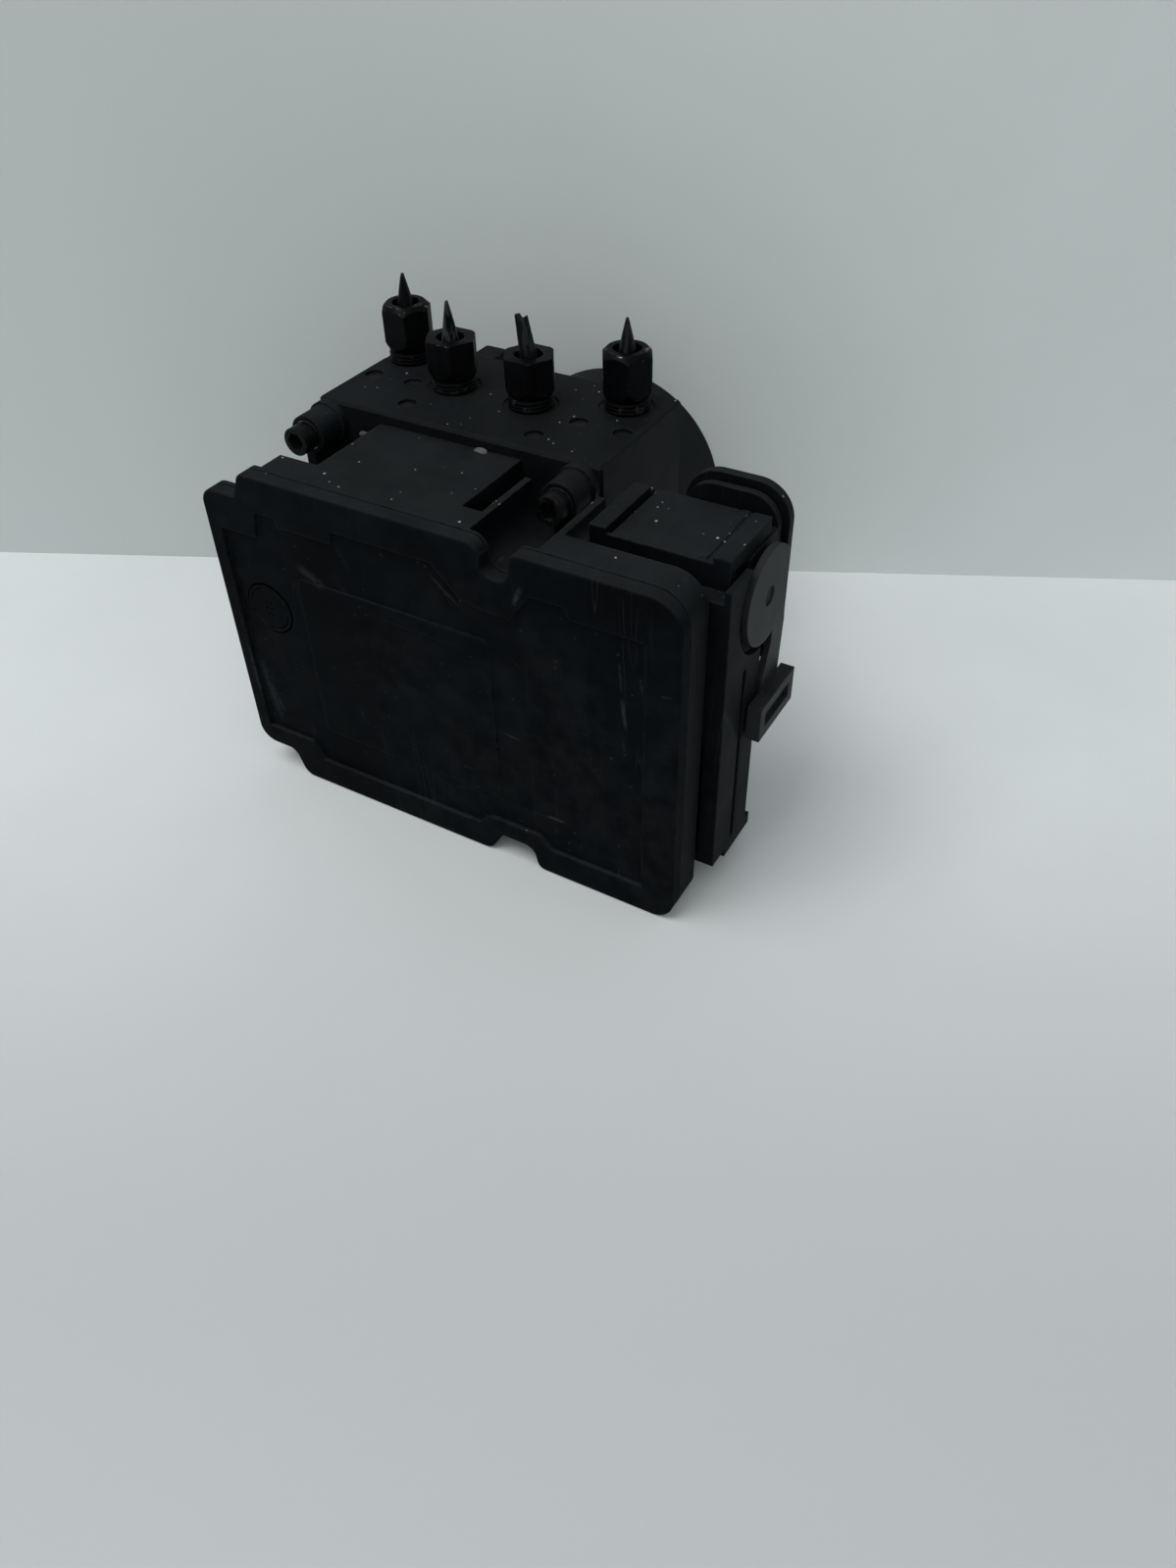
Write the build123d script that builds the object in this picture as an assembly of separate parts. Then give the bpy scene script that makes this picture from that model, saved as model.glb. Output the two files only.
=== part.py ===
from build123d import *
import os

# Vehicle brake pressure modulator: drilled valve block, pump motor behind it, electronic control
# unit in front of it and the loom plug still seated in the control unit's socket.
# Frame: origin at the centre of the block's bottom face, +X along the block, +Y from the
# control unit towards the motor, +Z up. All lengths are millimetres.

# ---- running and seating clearances ----
THREAD_GAP = 0.06
RUNNING_GAP = 0.05
SEAT_GAP = 0.05
LOOSE_GAP = 0.3

# ---- valve block ----
BLOCK_WIDTH = 90.0
BLOCK_DEPTH = 44.6
BLOCK_HEIGHT = 105.0
BLOCK_CHAMFER = 0.8
DRILL_RADIUS = 2.0

# ---- brake pipe ports, nuts and pipe stubs ----
LEFT_PORT_INSETS = (7.4, 29.9)
RIGHT_PORT_INSETS = (35.0, 11.2)
OUTER_PORT_Y = 11.5
INNER_PORT_Y = 0.9
INLET_PORT_LEFT_INSET = 20.7
INLET_PORT_RIGHT_INSET = 24.5
INLET_PORT_SHARE = 0.9048
PORT_RADIUS = 6.0
PORT_DEPTH = 12.0
INLET_PORT_DEPTH = 8.0
SPOTFACE_RADIUS = 7.7
SPOTFACE_DEPTH = 0.4
NUT_ACROSS_FLATS = 13.0
NUT_NECK = 3.0
NUT_TAPER = 3.0
HEX_NUT_LENGTH = 7.8
ROUND_NUT_LENGTH = 10.0
NUT_TOP_ROUND = 1.8
NUT_BORE_GAP = 0.12
NUT_MOUTH_RADIUS = 3.9
NUT_MOUTH_DEPTH = 4.0
PIPE_RADIUS = 2.375
PIPE_BORE_RADIUS = 1.675
FLARE_RADIUS = 3.9
STUB_REACH = 8.6
TIP_LONG = 1.3
TIP_SHORT = 0.45
TORN_STUB = 2
PINCH_TURN = 120.0
PINCH_LEANS = (-0.3, -1.4, 0.0, -0.3)
REAR_STUB_REACH = 3.0

# ---- closed drillings in the top face: (distance from the nearer side, y), mirrored ----
CHANNEL_PLUG_PLACES = ((24.7, -14.3), (18.0, -2.6), (4.7, -2.9))
CHANNEL_DEPTH = 22.0
CHANNEL_PLUG_RADIUS = 2.6
CHANNEL_PLUG_LENGTH = 3.0
CHANNEL_PLUG_SUNK = 0.8

# ---- threaded holes for the bracket's rubber mounts ----
BRACKET_HOLE_RADIUS = 3.0
BRACKET_HOLE_DEPTH = 9.0
BRACKET_HOLE_Y = 14.0
BRACKET_HOLE_RISE = 12.8

# ---- solenoid valves ----
BAY_MARGIN = 1.0
INNER_VALVE_SHARE = 0.355
VALVE_RADIUS = 6.0
VALVE_DEPTH = 16.0
VALVE_TUBE_RADIUS = 3.5
VALVE_TUBE_WALL = 0.5
VALVE_TUBE_REACH = 20.0
PLUNGER_LENGTH = 12.0
PLUNGER_ROD_RADIUS = 1.0
VALVE_STROKE = 0.3
COIL_GAP = 0.4
COIL_LENGTH = 17.0
YOKE_WALL = 0.8

# ---- pump ----
MOTOR_AXIS_SHARE = 0.4781
PUMP_AXIS_Y = 11.6
CRANK_BORE_RADIUS = 17.0
CRANK_BORE_DEPTH = 20.0
ECCENTRICITY = 1.0
ECCENTRIC_RADIUS = 6.0
CRANK_RING_RADIUS = 10.0
CRANK_RING_WIDTH = 9.0
PISTON_RADIUS = 4.0
PISTON_COLLAR_RADIUS = 5.6
PISTON_LENGTH = 19.0
PUMP_CHAMBER_RADIUS = 7.0
PUMP_CHAMBER_DEPTH = 21.0
PUMP_PLUG_LENGTH = 8.0
PLUG_SUNK = 0.2
PISTON_COLLAR_LENGTH = 1.5
PUMP_SPRING_RADIUS = 5.6
PUMP_SPRING_TURNS = 4
SPRING_WIRE_RADIUS = 0.6

# ---- low pressure accumulators ----
ACCUMULATOR_INSET = 18.5
ACCUMULATOR_Y = 9.0
ACCUMULATOR_RADIUS = 8.0
ACCUMULATOR_DEPTH = 34.0
ACCUMULATOR_PISTON_LENGTH = 9.0
ACCUMULATOR_CAP_LENGTH = 3.0
ACCUMULATOR_CAP_SUNK = 0.3
ACCUMULATOR_CROWN = 3.0
ACCUMULATOR_SPRING_RADIUS = 4.6
ACCUMULATOR_SPRING_TURNS = 6

# ---- motor ----
MOTOR_RADIUS_SHARE = 0.3448
MOTOR_LENGTH = 50.1
MOTOR_WALL = 2.0
MOTOR_EDGE_ROUND = 3.0
MOTOR_FLANGE_THICKNESS = 2.5
MOTOR_HEAD_GAP = 0.4
MOTOR_EAR_RADIUS = 5.5
MOTOR_EAR_ANGLES = (50.0, 130.0, 270.0)
MOTOR_SCREW_RADIUS = 2.5
MOTOR_SCREW_LENGTH = 12.0
MOTOR_HEAD_RADIUS = 4.4
MOTOR_HEAD_LENGTH = 3.0
SHAFT_RADIUS = 4.0
BEARING_RADIUS = 9.5
BEARING_WIDTH = 6.0
END_PLATE_THICKNESS = 2.5
ARMATURE_RADIUS = 24.0
ARMATURE_LENGTH = 20.0
ARMATURE_SLOTS = 10
MAGNET_ARC = 66.0
AIR_GAP = 0.8
COMMUTATOR_RADIUS = 9.0
COMMUTATOR_LENGTH = 9.0
BRUSH_WIDTH = 6.0
BRUSH_LENGTH = 11.0
BRUSH_BOX_LENGTH = 14.0
BRUSH_BOX_WALL = 1.2
BRUSH_CARD_THICKNESS = 2.5
TERMINAL_DROP = 3.0
TERMINAL_BORE_RADIUS = 4.6
TERMINAL_PITCH = 4.0
TERMINAL_WIDTH = 1.0

# ---- control unit housing and lid: outline in X and Z, seen from the front ----
UNIT_DEPTH = 40.5
UNIT_LEFT_OVERHANG = 9.3
UNIT_RIGHT_OVERHANG = 43.0
UNIT_TOP_DROP = 3.4
LID_THICKNESS = 4.5
SEAM_CHAMFER = 0.45
FLANGE_DEPTH = 11.2
FLANGE_CHAMFER = 2.2
RIM_LAND = 1.5
CORNER_CUT = 15.0
CORNER_CUT_INSET = 18.3
UNIT_WALL = 3.0
LID_POCKET = 1.3
TOP_STEP_INSET = 11.9
TOP_STEP_DROP = 7.3
BOTTOM_STEP_INSET = 12.8
BOTTOM_STEP_RISE = 8.5
STEP_SLANT = 3.0
NOTCH_HALF_WIDTH = 4.0
NOTCH_DEPTH = 8.4
FOOT_NOTCH_HALF_WIDTH = 5.8
FOOT_NOTCH_HEIGHT = 7.2
UNIT_BACK_FLOOR = 2.0
SEAL_INSET = 0.7
SEAL_WIDTH = 1.5
SEAL_DEPTH = 1.5
CORE_TOP_SHARE = 0.819
DECK_LEFT_GAP = 2.2
DECK_RIGHT_GAP = 17.4
PANEL_DEPTH = 1.2
PANEL_LEFT_INSET = 4.6
PANEL_RIGHT_INSET = 9.3
PANEL_BOTTOM_Z = 9.0
PANEL_TOP_INSET = 9.1
LABEL_LEFT_INSET = 23.2
LABEL_RIGHT_INSET = 44.0
LABEL_BOTTOM_INSET = 12.5
LABEL_TOP_INSET = 18.5
LABEL_RISE = 0.4
VENT_INSET = 10.5
VENT_DROP = 32.3
VENT_RADIUS = 7.5
VENT_THICKNESS = 1.2
VENT_HOLE_RADIUS = 0.4

# ---- screws that hold the control unit to the block ----
SCREW_LEFT_INSET = 3.8
SCREW_RIGHT_INSET = 6.4
SCREW_EDGE = 6.1
BOSS_RADIUS = 5.3
BOSS_LENGTH = 10.5
BOSS_FOOT_RADIUS = 6.0
BOSS_FOOT_LENGTH = 2.4
SLEEVE_RADIUS = 4.0
SLEEVE_WALL = 1.4
SCREW_RADIUS = 2.3
SCREW_HEAD_RADIUS = 3.9
SCREW_HEAD_LENGTH = 5.0
SCREW_BITE = 14.0
SOCKET_RADIUS = 2.6
WELL_RADIUS = 10.0
WELL_WALL = 1.8
WELL_LENGTH = 28.0
VALLEY_RADIUS = 17.5
VALLEY_RISE = 4.0
WELL_FRONT = 5.2

# ---- circuit board ----
BOARD_THICKNESS = 1.6
BOARD_STANDOFF = 2.2
CHIP_SIZE = 26.0
CHIP_THICKNESS = 2.4
CAPACITOR_WIDTH = 8.0
CAPACITOR_LENGTH = 12.0
BOARD_LEFT_INSET = 7.3
BOARD_RIGHT_INSET = 7.0
BOARD_BOTTOM_Z = 13.0
BOARD_TOP_INSET = 19.1

# ---- connector tower and loom plug ----
TOWER_WIDTH = 39.8
TOWER_OVERHANG = 4.0
TOWER_TOP_DROP = 2.1
TOWER_BOTTOM_Z = 8.4
TOWER_SETBACK = 1.1
TOWER_FRONT_DEPTH = 6.0
TOWER_LOW_DEPTH = 21.0
TOWER_LOW_WIDTH = 28.0
TOWER_LOW_GAP = 4.0
SHELF_SETBACK = 4.8
SHELF_THICKNESS = 2.4
SHELF_DEPTH = 25.4
RIB_WIDTH = 4.5
RIB_HEIGHT = 1.6
RIB_SHORT = 2.2
RIDGE_WIDTH = 2.0
RIDGE_HEIGHT = 0.3
SIDE_THICKNESS = 1.8
SIDE_DROP = 3.4
SIDE_STRIP = 10.4
SIDE_STEP_DROP = 16.3
FOOT_THICKNESS = 2.8
FOOT_SETBACK = 7.6
GROOVE_WIDTH = 2.2
GROOVE_DEPTH = 1.2
SHROUD_WIDTH = 20.9
SHROUD_INSET = 4.5
SHROUD_HEIGHT = 39.0
SHROUD_TOP_DROP = 3.5
SHROUD_WALL = 1.8
SHROUD_LENGTH = 22.0
SHROUD_ROUND = 4.0
PIN_ROWS = 3
PIN_COLUMNS = 10
PIN_PITCH = 3.6
PIN_WIDTH = 0.8
PIN_REACH = 9.0
COLLAR_LEFT_MARGIN = 4.0
COLLAR_RIGHT_MARGIN = 3.5
COLLAR_LOW_MARGIN = 4.0
COLLAR_TOP_MARGIN = 9.1
COLLAR_ROUND = 9.5
COLLAR_BACK = -6.9
COLLAR_DEPTH = 3.4
COLLAR_GAP = 1.7
COLLAR_RISE = 1.5
HOOD_INSET = 8.0
HOOD_DEPTH = 12.0
HOOD_WALL = 1.6
HOOD_ROUND = 5.0
HOOD_CLEARANCE = 1.0
NECK_INSET = 3.0
BODY_RIM_DEPTH = 2.0
CHEEK_THICKNESS = 1.8
CHEEK_REACH = 6.0
CHEEK_RISE = 12.1
PIVOT_Y = -24.8
PIVOT_DROP = 12.0
DISC_RADIUS = 13.0
DISC_GAP = 2.2
DISC_FLAT = 10.6
LEVER_THICKNESS = 1.8
LEVER_LENGTH = 40.0
LEVER_GRIP_HEIGHT = 10.5
LEVER_BAR_HEIGHT = 4.5
LEVER_BAR_DEPTH = 6.0
LEVER_GRIP_RISE = 3.4
LEVER_GRIP_REACH = 21.5
PIVOT_PIN_RADIUS = 2.6

# ---- derived planes ----
BLOCK_SIDE = BLOCK_WIDTH / 2
BLOCK_FRONT = -BLOCK_DEPTH / 2
BLOCK_BACK = BLOCK_DEPTH / 2
OUTLET_PORT_X = (*[inset - BLOCK_SIDE for inset in LEFT_PORT_INSETS],
                 *[BLOCK_SIDE - inset for inset in RIGHT_PORT_INSETS])
INLET_PORT_X = (INLET_PORT_LEFT_INSET - BLOCK_SIDE, BLOCK_SIDE - INLET_PORT_RIGHT_INSET)
INLET_PORT_Z = BLOCK_HEIGHT * INLET_PORT_SHARE
ACCUMULATOR_X = BLOCK_SIDE - ACCUMULATOR_INSET
MOTOR_AXIS_Z = BLOCK_HEIGHT * MOTOR_AXIS_SHARE
MOTOR_RADIUS = BLOCK_HEIGHT * MOTOR_RADIUS_SHARE
MOTOR_EAR_CIRCLE = MOTOR_RADIUS + MOTOR_HEAD_RADIUS + MOTOR_HEAD_GAP
BRACKET_HOLE_Z = MOTOR_AXIS_Z + BRACKET_HOLE_RISE
UNIT_LEFT = -BLOCK_SIDE - UNIT_LEFT_OVERHANG
UNIT_RIGHT = BLOCK_SIDE + UNIT_RIGHT_OVERHANG
UNIT_TOP = BLOCK_HEIGHT - UNIT_TOP_DROP
CORE_TOP_Z = BLOCK_HEIGHT * CORE_TOP_SHARE
TOP_STEP_X = UNIT_LEFT + TOP_STEP_INSET
BOTTOM_STEP_X = UNIT_LEFT + BOTTOM_STEP_INSET
CORNER_CUT_X = UNIT_LEFT + CORNER_CUT_INSET
SCREW_LEFT_X = SCREW_LEFT_INSET - BLOCK_SIDE
SCREW_RIGHT_X = BLOCK_SIDE - SCREW_RIGHT_INSET
DECK_LEFT = SCREW_LEFT_X + DECK_LEFT_GAP
DECK_RIGHT = SCREW_RIGHT_X - DECK_RIGHT_GAP
PANEL_LEFT = UNIT_LEFT + PANEL_LEFT_INSET
PANEL_RIGHT = UNIT_RIGHT - PANEL_RIGHT_INSET
PANEL_TOP_Z = UNIT_TOP - PANEL_TOP_INSET
VENT_X = PANEL_LEFT + VENT_INSET
VENT_Z = PANEL_TOP_Z - VENT_DROP
BOARD_LEFT = UNIT_LEFT + BOARD_LEFT_INSET
BOARD_RIGHT = UNIT_RIGHT - BOARD_RIGHT_INSET
BOARD_TOP_Z = UNIT_TOP - BOARD_TOP_INSET
TOWER_RIGHT = UNIT_RIGHT + TOWER_OVERHANG
TOWER_LEFT = TOWER_RIGHT - TOWER_WIDTH
TOWER_LOW_LEFT = TOWER_RIGHT - TOWER_LOW_WIDTH
TOWER_TOP_Z = UNIT_TOP - TOWER_TOP_DROP
SHROUD_RIGHT = TOWER_RIGHT - SHROUD_INSET
SHROUD_LEFT = SHROUD_RIGHT - SHROUD_WIDTH
SHROUD_TOP_Z = TOWER_TOP_Z - SHROUD_TOP_DROP
SHROUD_BOTTOM_Z = SHROUD_TOP_Z - SHROUD_HEIGHT
TOWER_LOW_TOP_Z = SHROUD_BOTTOM_Z - TOWER_LOW_GAP
COLLAR_LEFT = SHROUD_LEFT - COLLAR_LEFT_MARGIN
COLLAR_RIGHT = SHROUD_RIGHT + COLLAR_RIGHT_MARGIN
COLLAR_BOTTOM_Z = SHROUD_BOTTOM_Z - COLLAR_LOW_MARGIN
COLLAR_TOP_Z = SHROUD_TOP_Z + COLLAR_TOP_MARGIN
PIVOT_Z = SHROUD_TOP_Z - PIVOT_DROP
CHEEK_TOP_Z = PIVOT_Z + CHEEK_RISE
SIDE_STEP_Z = PIVOT_Z - SIDE_STEP_DROP
LEVER_FOOT_Z = PIVOT_Z - LEVER_LENGTH
UNIT_FRONT = BLOCK_FRONT - UNIT_DEPTH
LID_BACK = UNIT_FRONT + LID_THICKNESS
FLANGE_BACK = LID_BACK + FLANGE_DEPTH
BOARD_FRONT = FLANGE_BACK - UNIT_BACK_FLOOR - BOARD_STANDOFF - BOARD_THICKNESS
BOARD_BACK = BOARD_FRONT + BOARD_THICKNESS
SCREW_LOW_Z = SCREW_EDGE
SCREW_HIGH_Z = BLOCK_HEIGHT - SCREW_EDGE
BAY_FLOOR_Z = SCREW_LOW_Z + WELL_RADIUS + UNIT_WALL
BAY_CEILING_Z = CORE_TOP_Z - UNIT_WALL - 1
TERMINAL_Z = BAY_CEILING_Z - TERMINAL_DROP
VALVE_OUTER_X = (BLOCK_SIDE - UNIT_WALL - BAY_MARGIN) / (1 + (1 - INNER_VALVE_SHARE) / 2)
VALVE_INNER_X = VALVE_OUTER_X * INNER_VALVE_SHARE
VALVE_X = (-VALVE_OUTER_X, -VALVE_INNER_X, VALVE_INNER_X, VALVE_OUTER_X)
YOKE_RADIUS = (VALVE_OUTER_X - VALVE_INNER_X) / 2 - COIL_GAP
COIL_RADIUS = YOKE_RADIUS - YOKE_WALL
INLET_VALVE_Z = BAY_CEILING_Z - YOKE_RADIUS - COIL_GAP
OUTLET_VALVE_Z = BAY_FLOOR_Z + YOKE_RADIUS + COIL_GAP
BOSS_FRONT = BLOCK_FRONT - BOSS_LENGTH
SEAT_DEPTH = 1.5
SLOPE_TO_DRILL = PORT_RADIUS - DRILL_RADIUS
NUT_INSERTION = PORT_DEPTH + SEAT_DEPTH
PISTON_INNER = CRANK_RING_RADIUS + ECCENTRICITY + 0.1
CHAMBER_FLOOR = BLOCK_SIDE - PUMP_CHAMBER_DEPTH
TOWER_FRONT = FLANGE_BACK + TOWER_SETBACK
SOCKET_FLOOR = TOWER_FRONT + TOWER_FRONT_DEPTH
SHROUD_END = SOCKET_FLOOR + SHROUD_LENGTH
SHELF_FRONT = TOWER_FRONT + SHELF_SETBACK
SHELF_BACK = SHELF_FRONT + SHELF_DEPTH
COLLAR_FRONT = COLLAR_BACK - COLLAR_DEPTH
BODY_RIM_BACK = COLLAR_FRONT - COLLAR_GAP
BODY_RIM_FRONT = BODY_RIM_BACK - BODY_RIM_DEPTH
LEVER_INNER_RIGHT = COLLAR_RIGHT + RUNNING_GAP * 4
LEVER_INNER_LEFT = COLLAR_LEFT - RUNNING_GAP * 4


# ---- shared shapes ----
def box_between(x_low, x_high, y_low, y_high, z_low, z_high):
    """Block between two corners."""
    size = (x_high - x_low, y_high - y_low, z_high - z_low)
    return Pos((x_low + x_high) / 2, (y_low + y_high) / 2, (z_low + z_high) / 2) * Box(*size)


def rod_x(y, z, x_low, x_high, radius):
    """Round bar along X."""
    return Pos((x_low + x_high) / 2, y, z) * Rot(0, 90, 0) * Cylinder(radius, x_high - x_low)


def rod_y(x, z, y_low, y_high, radius):
    """Round bar along Y."""
    return Pos(x, (y_low + y_high) / 2, z) * Rot(90, 0, 0) * Cylinder(radius, y_high - y_low)


def rod_z(x, y, z_low, z_high, radius):
    """Round bar along Z."""
    return Pos(x, y, (z_low + z_high) / 2) * Cylinder(radius, z_high - z_low)


def slab_y(face, y_low, y_high):
    """Face drawn in (x, z), extruded from one depth to another."""
    return extrude(Plane.XZ.offset(-y_high) * face, y_high - y_low)


def slab_x(face, x_low, x_high):
    """Face drawn in (y, z), extruded between two X planes."""
    return extrude(Plane.YZ.offset(x_low) * face, x_high - x_low)


def closed(*corners, radius=0.0):
    """Face with straight sides and rounded corners."""
    return make_face(FilletPolyline(*corners, radius=radius, close=True))


def turned(*profile):
    """Turned part from (radius, height) corners, standing on Z."""
    return revolve(make_face(Plane.XZ * Polyline(*profile, close=True)), Axis.Z)


def rectangle_between(x_low, x_high, z_low, z_high):
    """Rectangle in (x, z)."""
    return Pos((x_low + x_high) / 2, (z_low + z_high) / 2) * Rectangle(x_high - x_low, z_high - z_low)


def rounded_rectangle(x_low, x_high, z_low, z_high, radius):
    """Rectangle in (x, z) with rounded corners."""
    face = RectangleRounded(x_high - x_low, z_high - z_low, radius)
    return Pos((x_low + x_high) / 2, (z_low + z_high) / 2) * face


def mirrored_pair(shape):
    """A shape and its mirror image about the block's middle plane."""
    return [shape, mirror(shape, Plane.YZ)]


# ---- places shared by holes and what fills them ----
def top_port_places():
    """Frames of the four outlet ports, Z out of the block's top face."""
    depths = (OUTER_PORT_Y, INNER_PORT_Y, INNER_PORT_Y, OUTER_PORT_Y)
    return [Pos(x, y, BLOCK_HEIGHT) for x, y in zip(OUTLET_PORT_X, depths)]


def rear_port_places():
    """Frames of the two inlet ports, Z out of the block's rear face."""
    return [Pos(x, BLOCK_BACK, INLET_PORT_Z) * Rot(-90, 0, 0) for x in INLET_PORT_X]


def valve_places(height):
    """Frames of one row of valves, Z out of the block's front face."""
    return [Pos(x, BLOCK_FRONT, height) * Rot(90, 0, 0) for x in VALVE_X]


def channel_places():
    """Top ends of the closed drillings."""
    return [Pos(side * (BLOCK_SIDE - inset), y, BLOCK_HEIGHT)
            for inset, y in CHANNEL_PLUG_PLACES for side in (-1, 1)]


def unit_screw_places():
    """(x, z) of the four control unit screws."""
    return [(x, z) for x in (SCREW_LEFT_X, SCREW_RIGHT_X) for z in (SCREW_LOW_Z, SCREW_HIGH_Z)]


def motor_screw_places():
    """Frames of the motor screws, Z out of the block's rear face."""
    hub = Pos(0, BLOCK_BACK, MOTOR_AXIS_Z) * Rot(-90, 0, 0)
    return [hub * Rot(0, 0, -angle) * Pos(MOTOR_EAR_CIRCLE, 0, 0) for angle in MOTOR_EAR_ANGLES]


# ---- valve block ----
def port_cut(depth):
    """Threaded port with spot face, conical pipe seat and feed drilling."""
    shoulder = -depth
    drill = shoulder - SLOPE_TO_DRILL
    return turned(
        (0, SPOTFACE_DEPTH), (SPOTFACE_RADIUS, SPOTFACE_DEPTH), (SPOTFACE_RADIUS, -SPOTFACE_DEPTH),
        (PORT_RADIUS, -SPOTFACE_DEPTH), (PORT_RADIUS, shoulder), (DRILL_RADIUS, drill), (0, drill),
    )


def drilling(start, end, radius):
    """Straight drilled passage between two points."""
    run = Vector(*end) - Vector(*start)
    plane = Plane(origin=start, z_dir=run)
    return plane * Pos(0, 0, run.length / 2) * Cylinder(radius, run.length)


def pump_cut(side):
    """Piston bore, spring chamber and plug thread on one side."""
    outer = BLOCK_SIDE
    piston_bore = rod_x(PUMP_AXIS_Y, MOTOR_AXIS_Z, 0, outer, PISTON_RADIUS + RUNNING_GAP)
    chamber = rod_x(PUMP_AXIS_Y, MOTOR_AXIS_Z, CHAMBER_FLOOR, outer + 1, PUMP_CHAMBER_RADIUS)
    cut = piston_bore + chamber
    return cut if side > 0 else mirror(cut, Plane.YZ)


def make_valve_block():
    """Extruded block with every port and bore machined into it."""
    block = Pos(0, 0, BLOCK_HEIGHT / 2) * Box(BLOCK_WIDTH, BLOCK_DEPTH, BLOCK_HEIGHT)
    block = chamfer(block.edges(), BLOCK_CHAMFER)
    cuts = [place * port_cut(PORT_DEPTH) for place in top_port_places()]
    cuts += [place * port_cut(INLET_PORT_DEPTH) for place in rear_port_places()]
    for height in (INLET_VALVE_Z, OUTLET_VALVE_Z):
        cuts += [place * rod_z(0, 0, -VALVE_DEPTH, 1, VALVE_RADIUS) for place in valve_places(height)]
    for place, valve_x in zip(top_port_places(), VALVE_X):
        x, y = place.position.X, place.position.Y
        port_floor = BLOCK_HEIGHT - PORT_DEPTH - SLOPE_TO_DRILL
        valve_floor = BLOCK_FRONT + VALVE_DEPTH
        cuts.append(rod_z(x, y, INLET_VALVE_Z, port_floor + 1, DRILL_RADIUS))
        start = (valve_x, valve_floor - 1, INLET_VALVE_Z)
        cuts.append(drilling(start, (x, y, INLET_VALVE_Z), DRILL_RADIUS))
    channel_seat = -CHANNEL_PLUG_SUNK - CHANNEL_PLUG_LENGTH
    for place in channel_places():
        cuts.append(place * rod_z(0, 0, -CHANNEL_DEPTH, 1, DRILL_RADIUS))
        cuts.append(place * rod_z(0, 0, channel_seat, 1, CHANNEL_PLUG_RADIUS))
    crank_floor = BLOCK_BACK - CRANK_BORE_DEPTH
    cuts.append(rod_y(0, MOTOR_AXIS_Z, crank_floor, BLOCK_BACK + 1, CRANK_BORE_RADIUS))
    cuts += [pump_cut(side) for side in (-1, 1)]
    well = rod_z(ACCUMULATOR_X, ACCUMULATOR_Y, -1, ACCUMULATOR_DEPTH, ACCUMULATOR_RADIUS)
    cuts += mirrored_pair(well)
    for x, z in unit_screw_places():
        cuts.append(rod_y(x, z, BLOCK_FRONT - 1, BLOCK_FRONT + SCREW_BITE + 1, SCREW_RADIUS + THREAD_GAP))
    for place in motor_screw_places():
        cuts.append(place * rod_z(0, 0, -MOTOR_SCREW_LENGTH, 1, MOTOR_SCREW_RADIUS + THREAD_GAP))
    cuts.append(rod_y(0, TERMINAL_Z, BLOCK_FRONT - 1, BLOCK_BACK + 1, TERMINAL_BORE_RADIUS))
    side = BLOCK_SIDE
    bracket_floor = side - BRACKET_HOLE_DEPTH
    socket = rod_x(BRACKET_HOLE_Y, BRACKET_HOLE_Z, bracket_floor, side + 1, BRACKET_HOLE_RADIUS)
    cuts += mirrored_pair(socket)
    return block - cuts


# ---- pipe nuts and stubs, drawn with Z out of the port and zero at the block face ----
def tube_nut(length, insertion, rounded):
    """Pipe nut: threaded shank, taper, hexagon and mouth round the pipe."""
    shank = PORT_RADIUS - THREAD_GAP
    nose = PORT_RADIUS - SEAT_DEPTH - SEAT_GAP
    bottom = -insertion + SEAT_GAP
    grip_start = NUT_NECK + NUT_TAPER
    top = grip_start + length
    envelope = NUT_ACROSS_FLATS * 0.57
    corner = NUT_TOP_ROUND if rounded else 0.35
    body = turned(
        (0, bottom), (nose, bottom), (nose, bottom + SEAT_DEPTH), (shank, bottom + SEAT_DEPTH),
        (shank, NUT_NECK), (envelope, grip_start), (envelope, top - corner),
        (envelope - corner, top), (0, top),
    )
    hexagon = extrude(RegularPolygon(NUT_ACROSS_FLATS / 2, 6, major_radius=False), top + 1)
    below = Pos(0, 0, bottom / 2) * Cylinder(shank, -bottom)
    body = body & (hexagon + below)
    mouth = rod_z(0, 0, top - NUT_MOUTH_DEPTH, top + 1, NUT_MOUTH_RADIUS)
    bore = rod_z(0, 0, bottom - 1, top, PIPE_RADIUS + NUT_BORE_GAP)
    return body - mouth - bore


def pipe_base(insertion, mouth_height):
    """Flared pipe end up to the nut's mouth."""
    back = -insertion
    nose = (PIPE_BORE_RADIUS + PIPE_RADIUS) / 2
    edge = back - (PORT_RADIUS - SEAT_DEPTH - FLARE_RADIUS) + 2 * SEAT_GAP
    low = edge - (FLARE_RADIUS - nose)
    return turned(
        (PIPE_BORE_RADIUS, low), (nose, low), (FLARE_RADIUS, edge), (FLARE_RADIUS, back),
        (PIPE_RADIUS, back), (PIPE_RADIUS, mouth_height), (PIPE_BORE_RADIUS, mouth_height),
    )


def pinched_tip(start, reach, lean):
    """Pipe squeezed shut to a narrow edge as it was cut."""
    foot = Plane.XY.offset(start) * Circle(PIPE_RADIUS)
    waist = Plane.XY.offset(start + reach * 0.5) * Ellipse(PIPE_RADIUS * 0.78, PIPE_RADIUS * 0.62)
    edge = Plane.XY.offset(start + reach) * Ellipse(TIP_LONG, TIP_SHORT)
    return loft([foot, Pos(lean * 0.4, 0, 0) * waist, Pos(lean, 0, 0) * edge])


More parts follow.
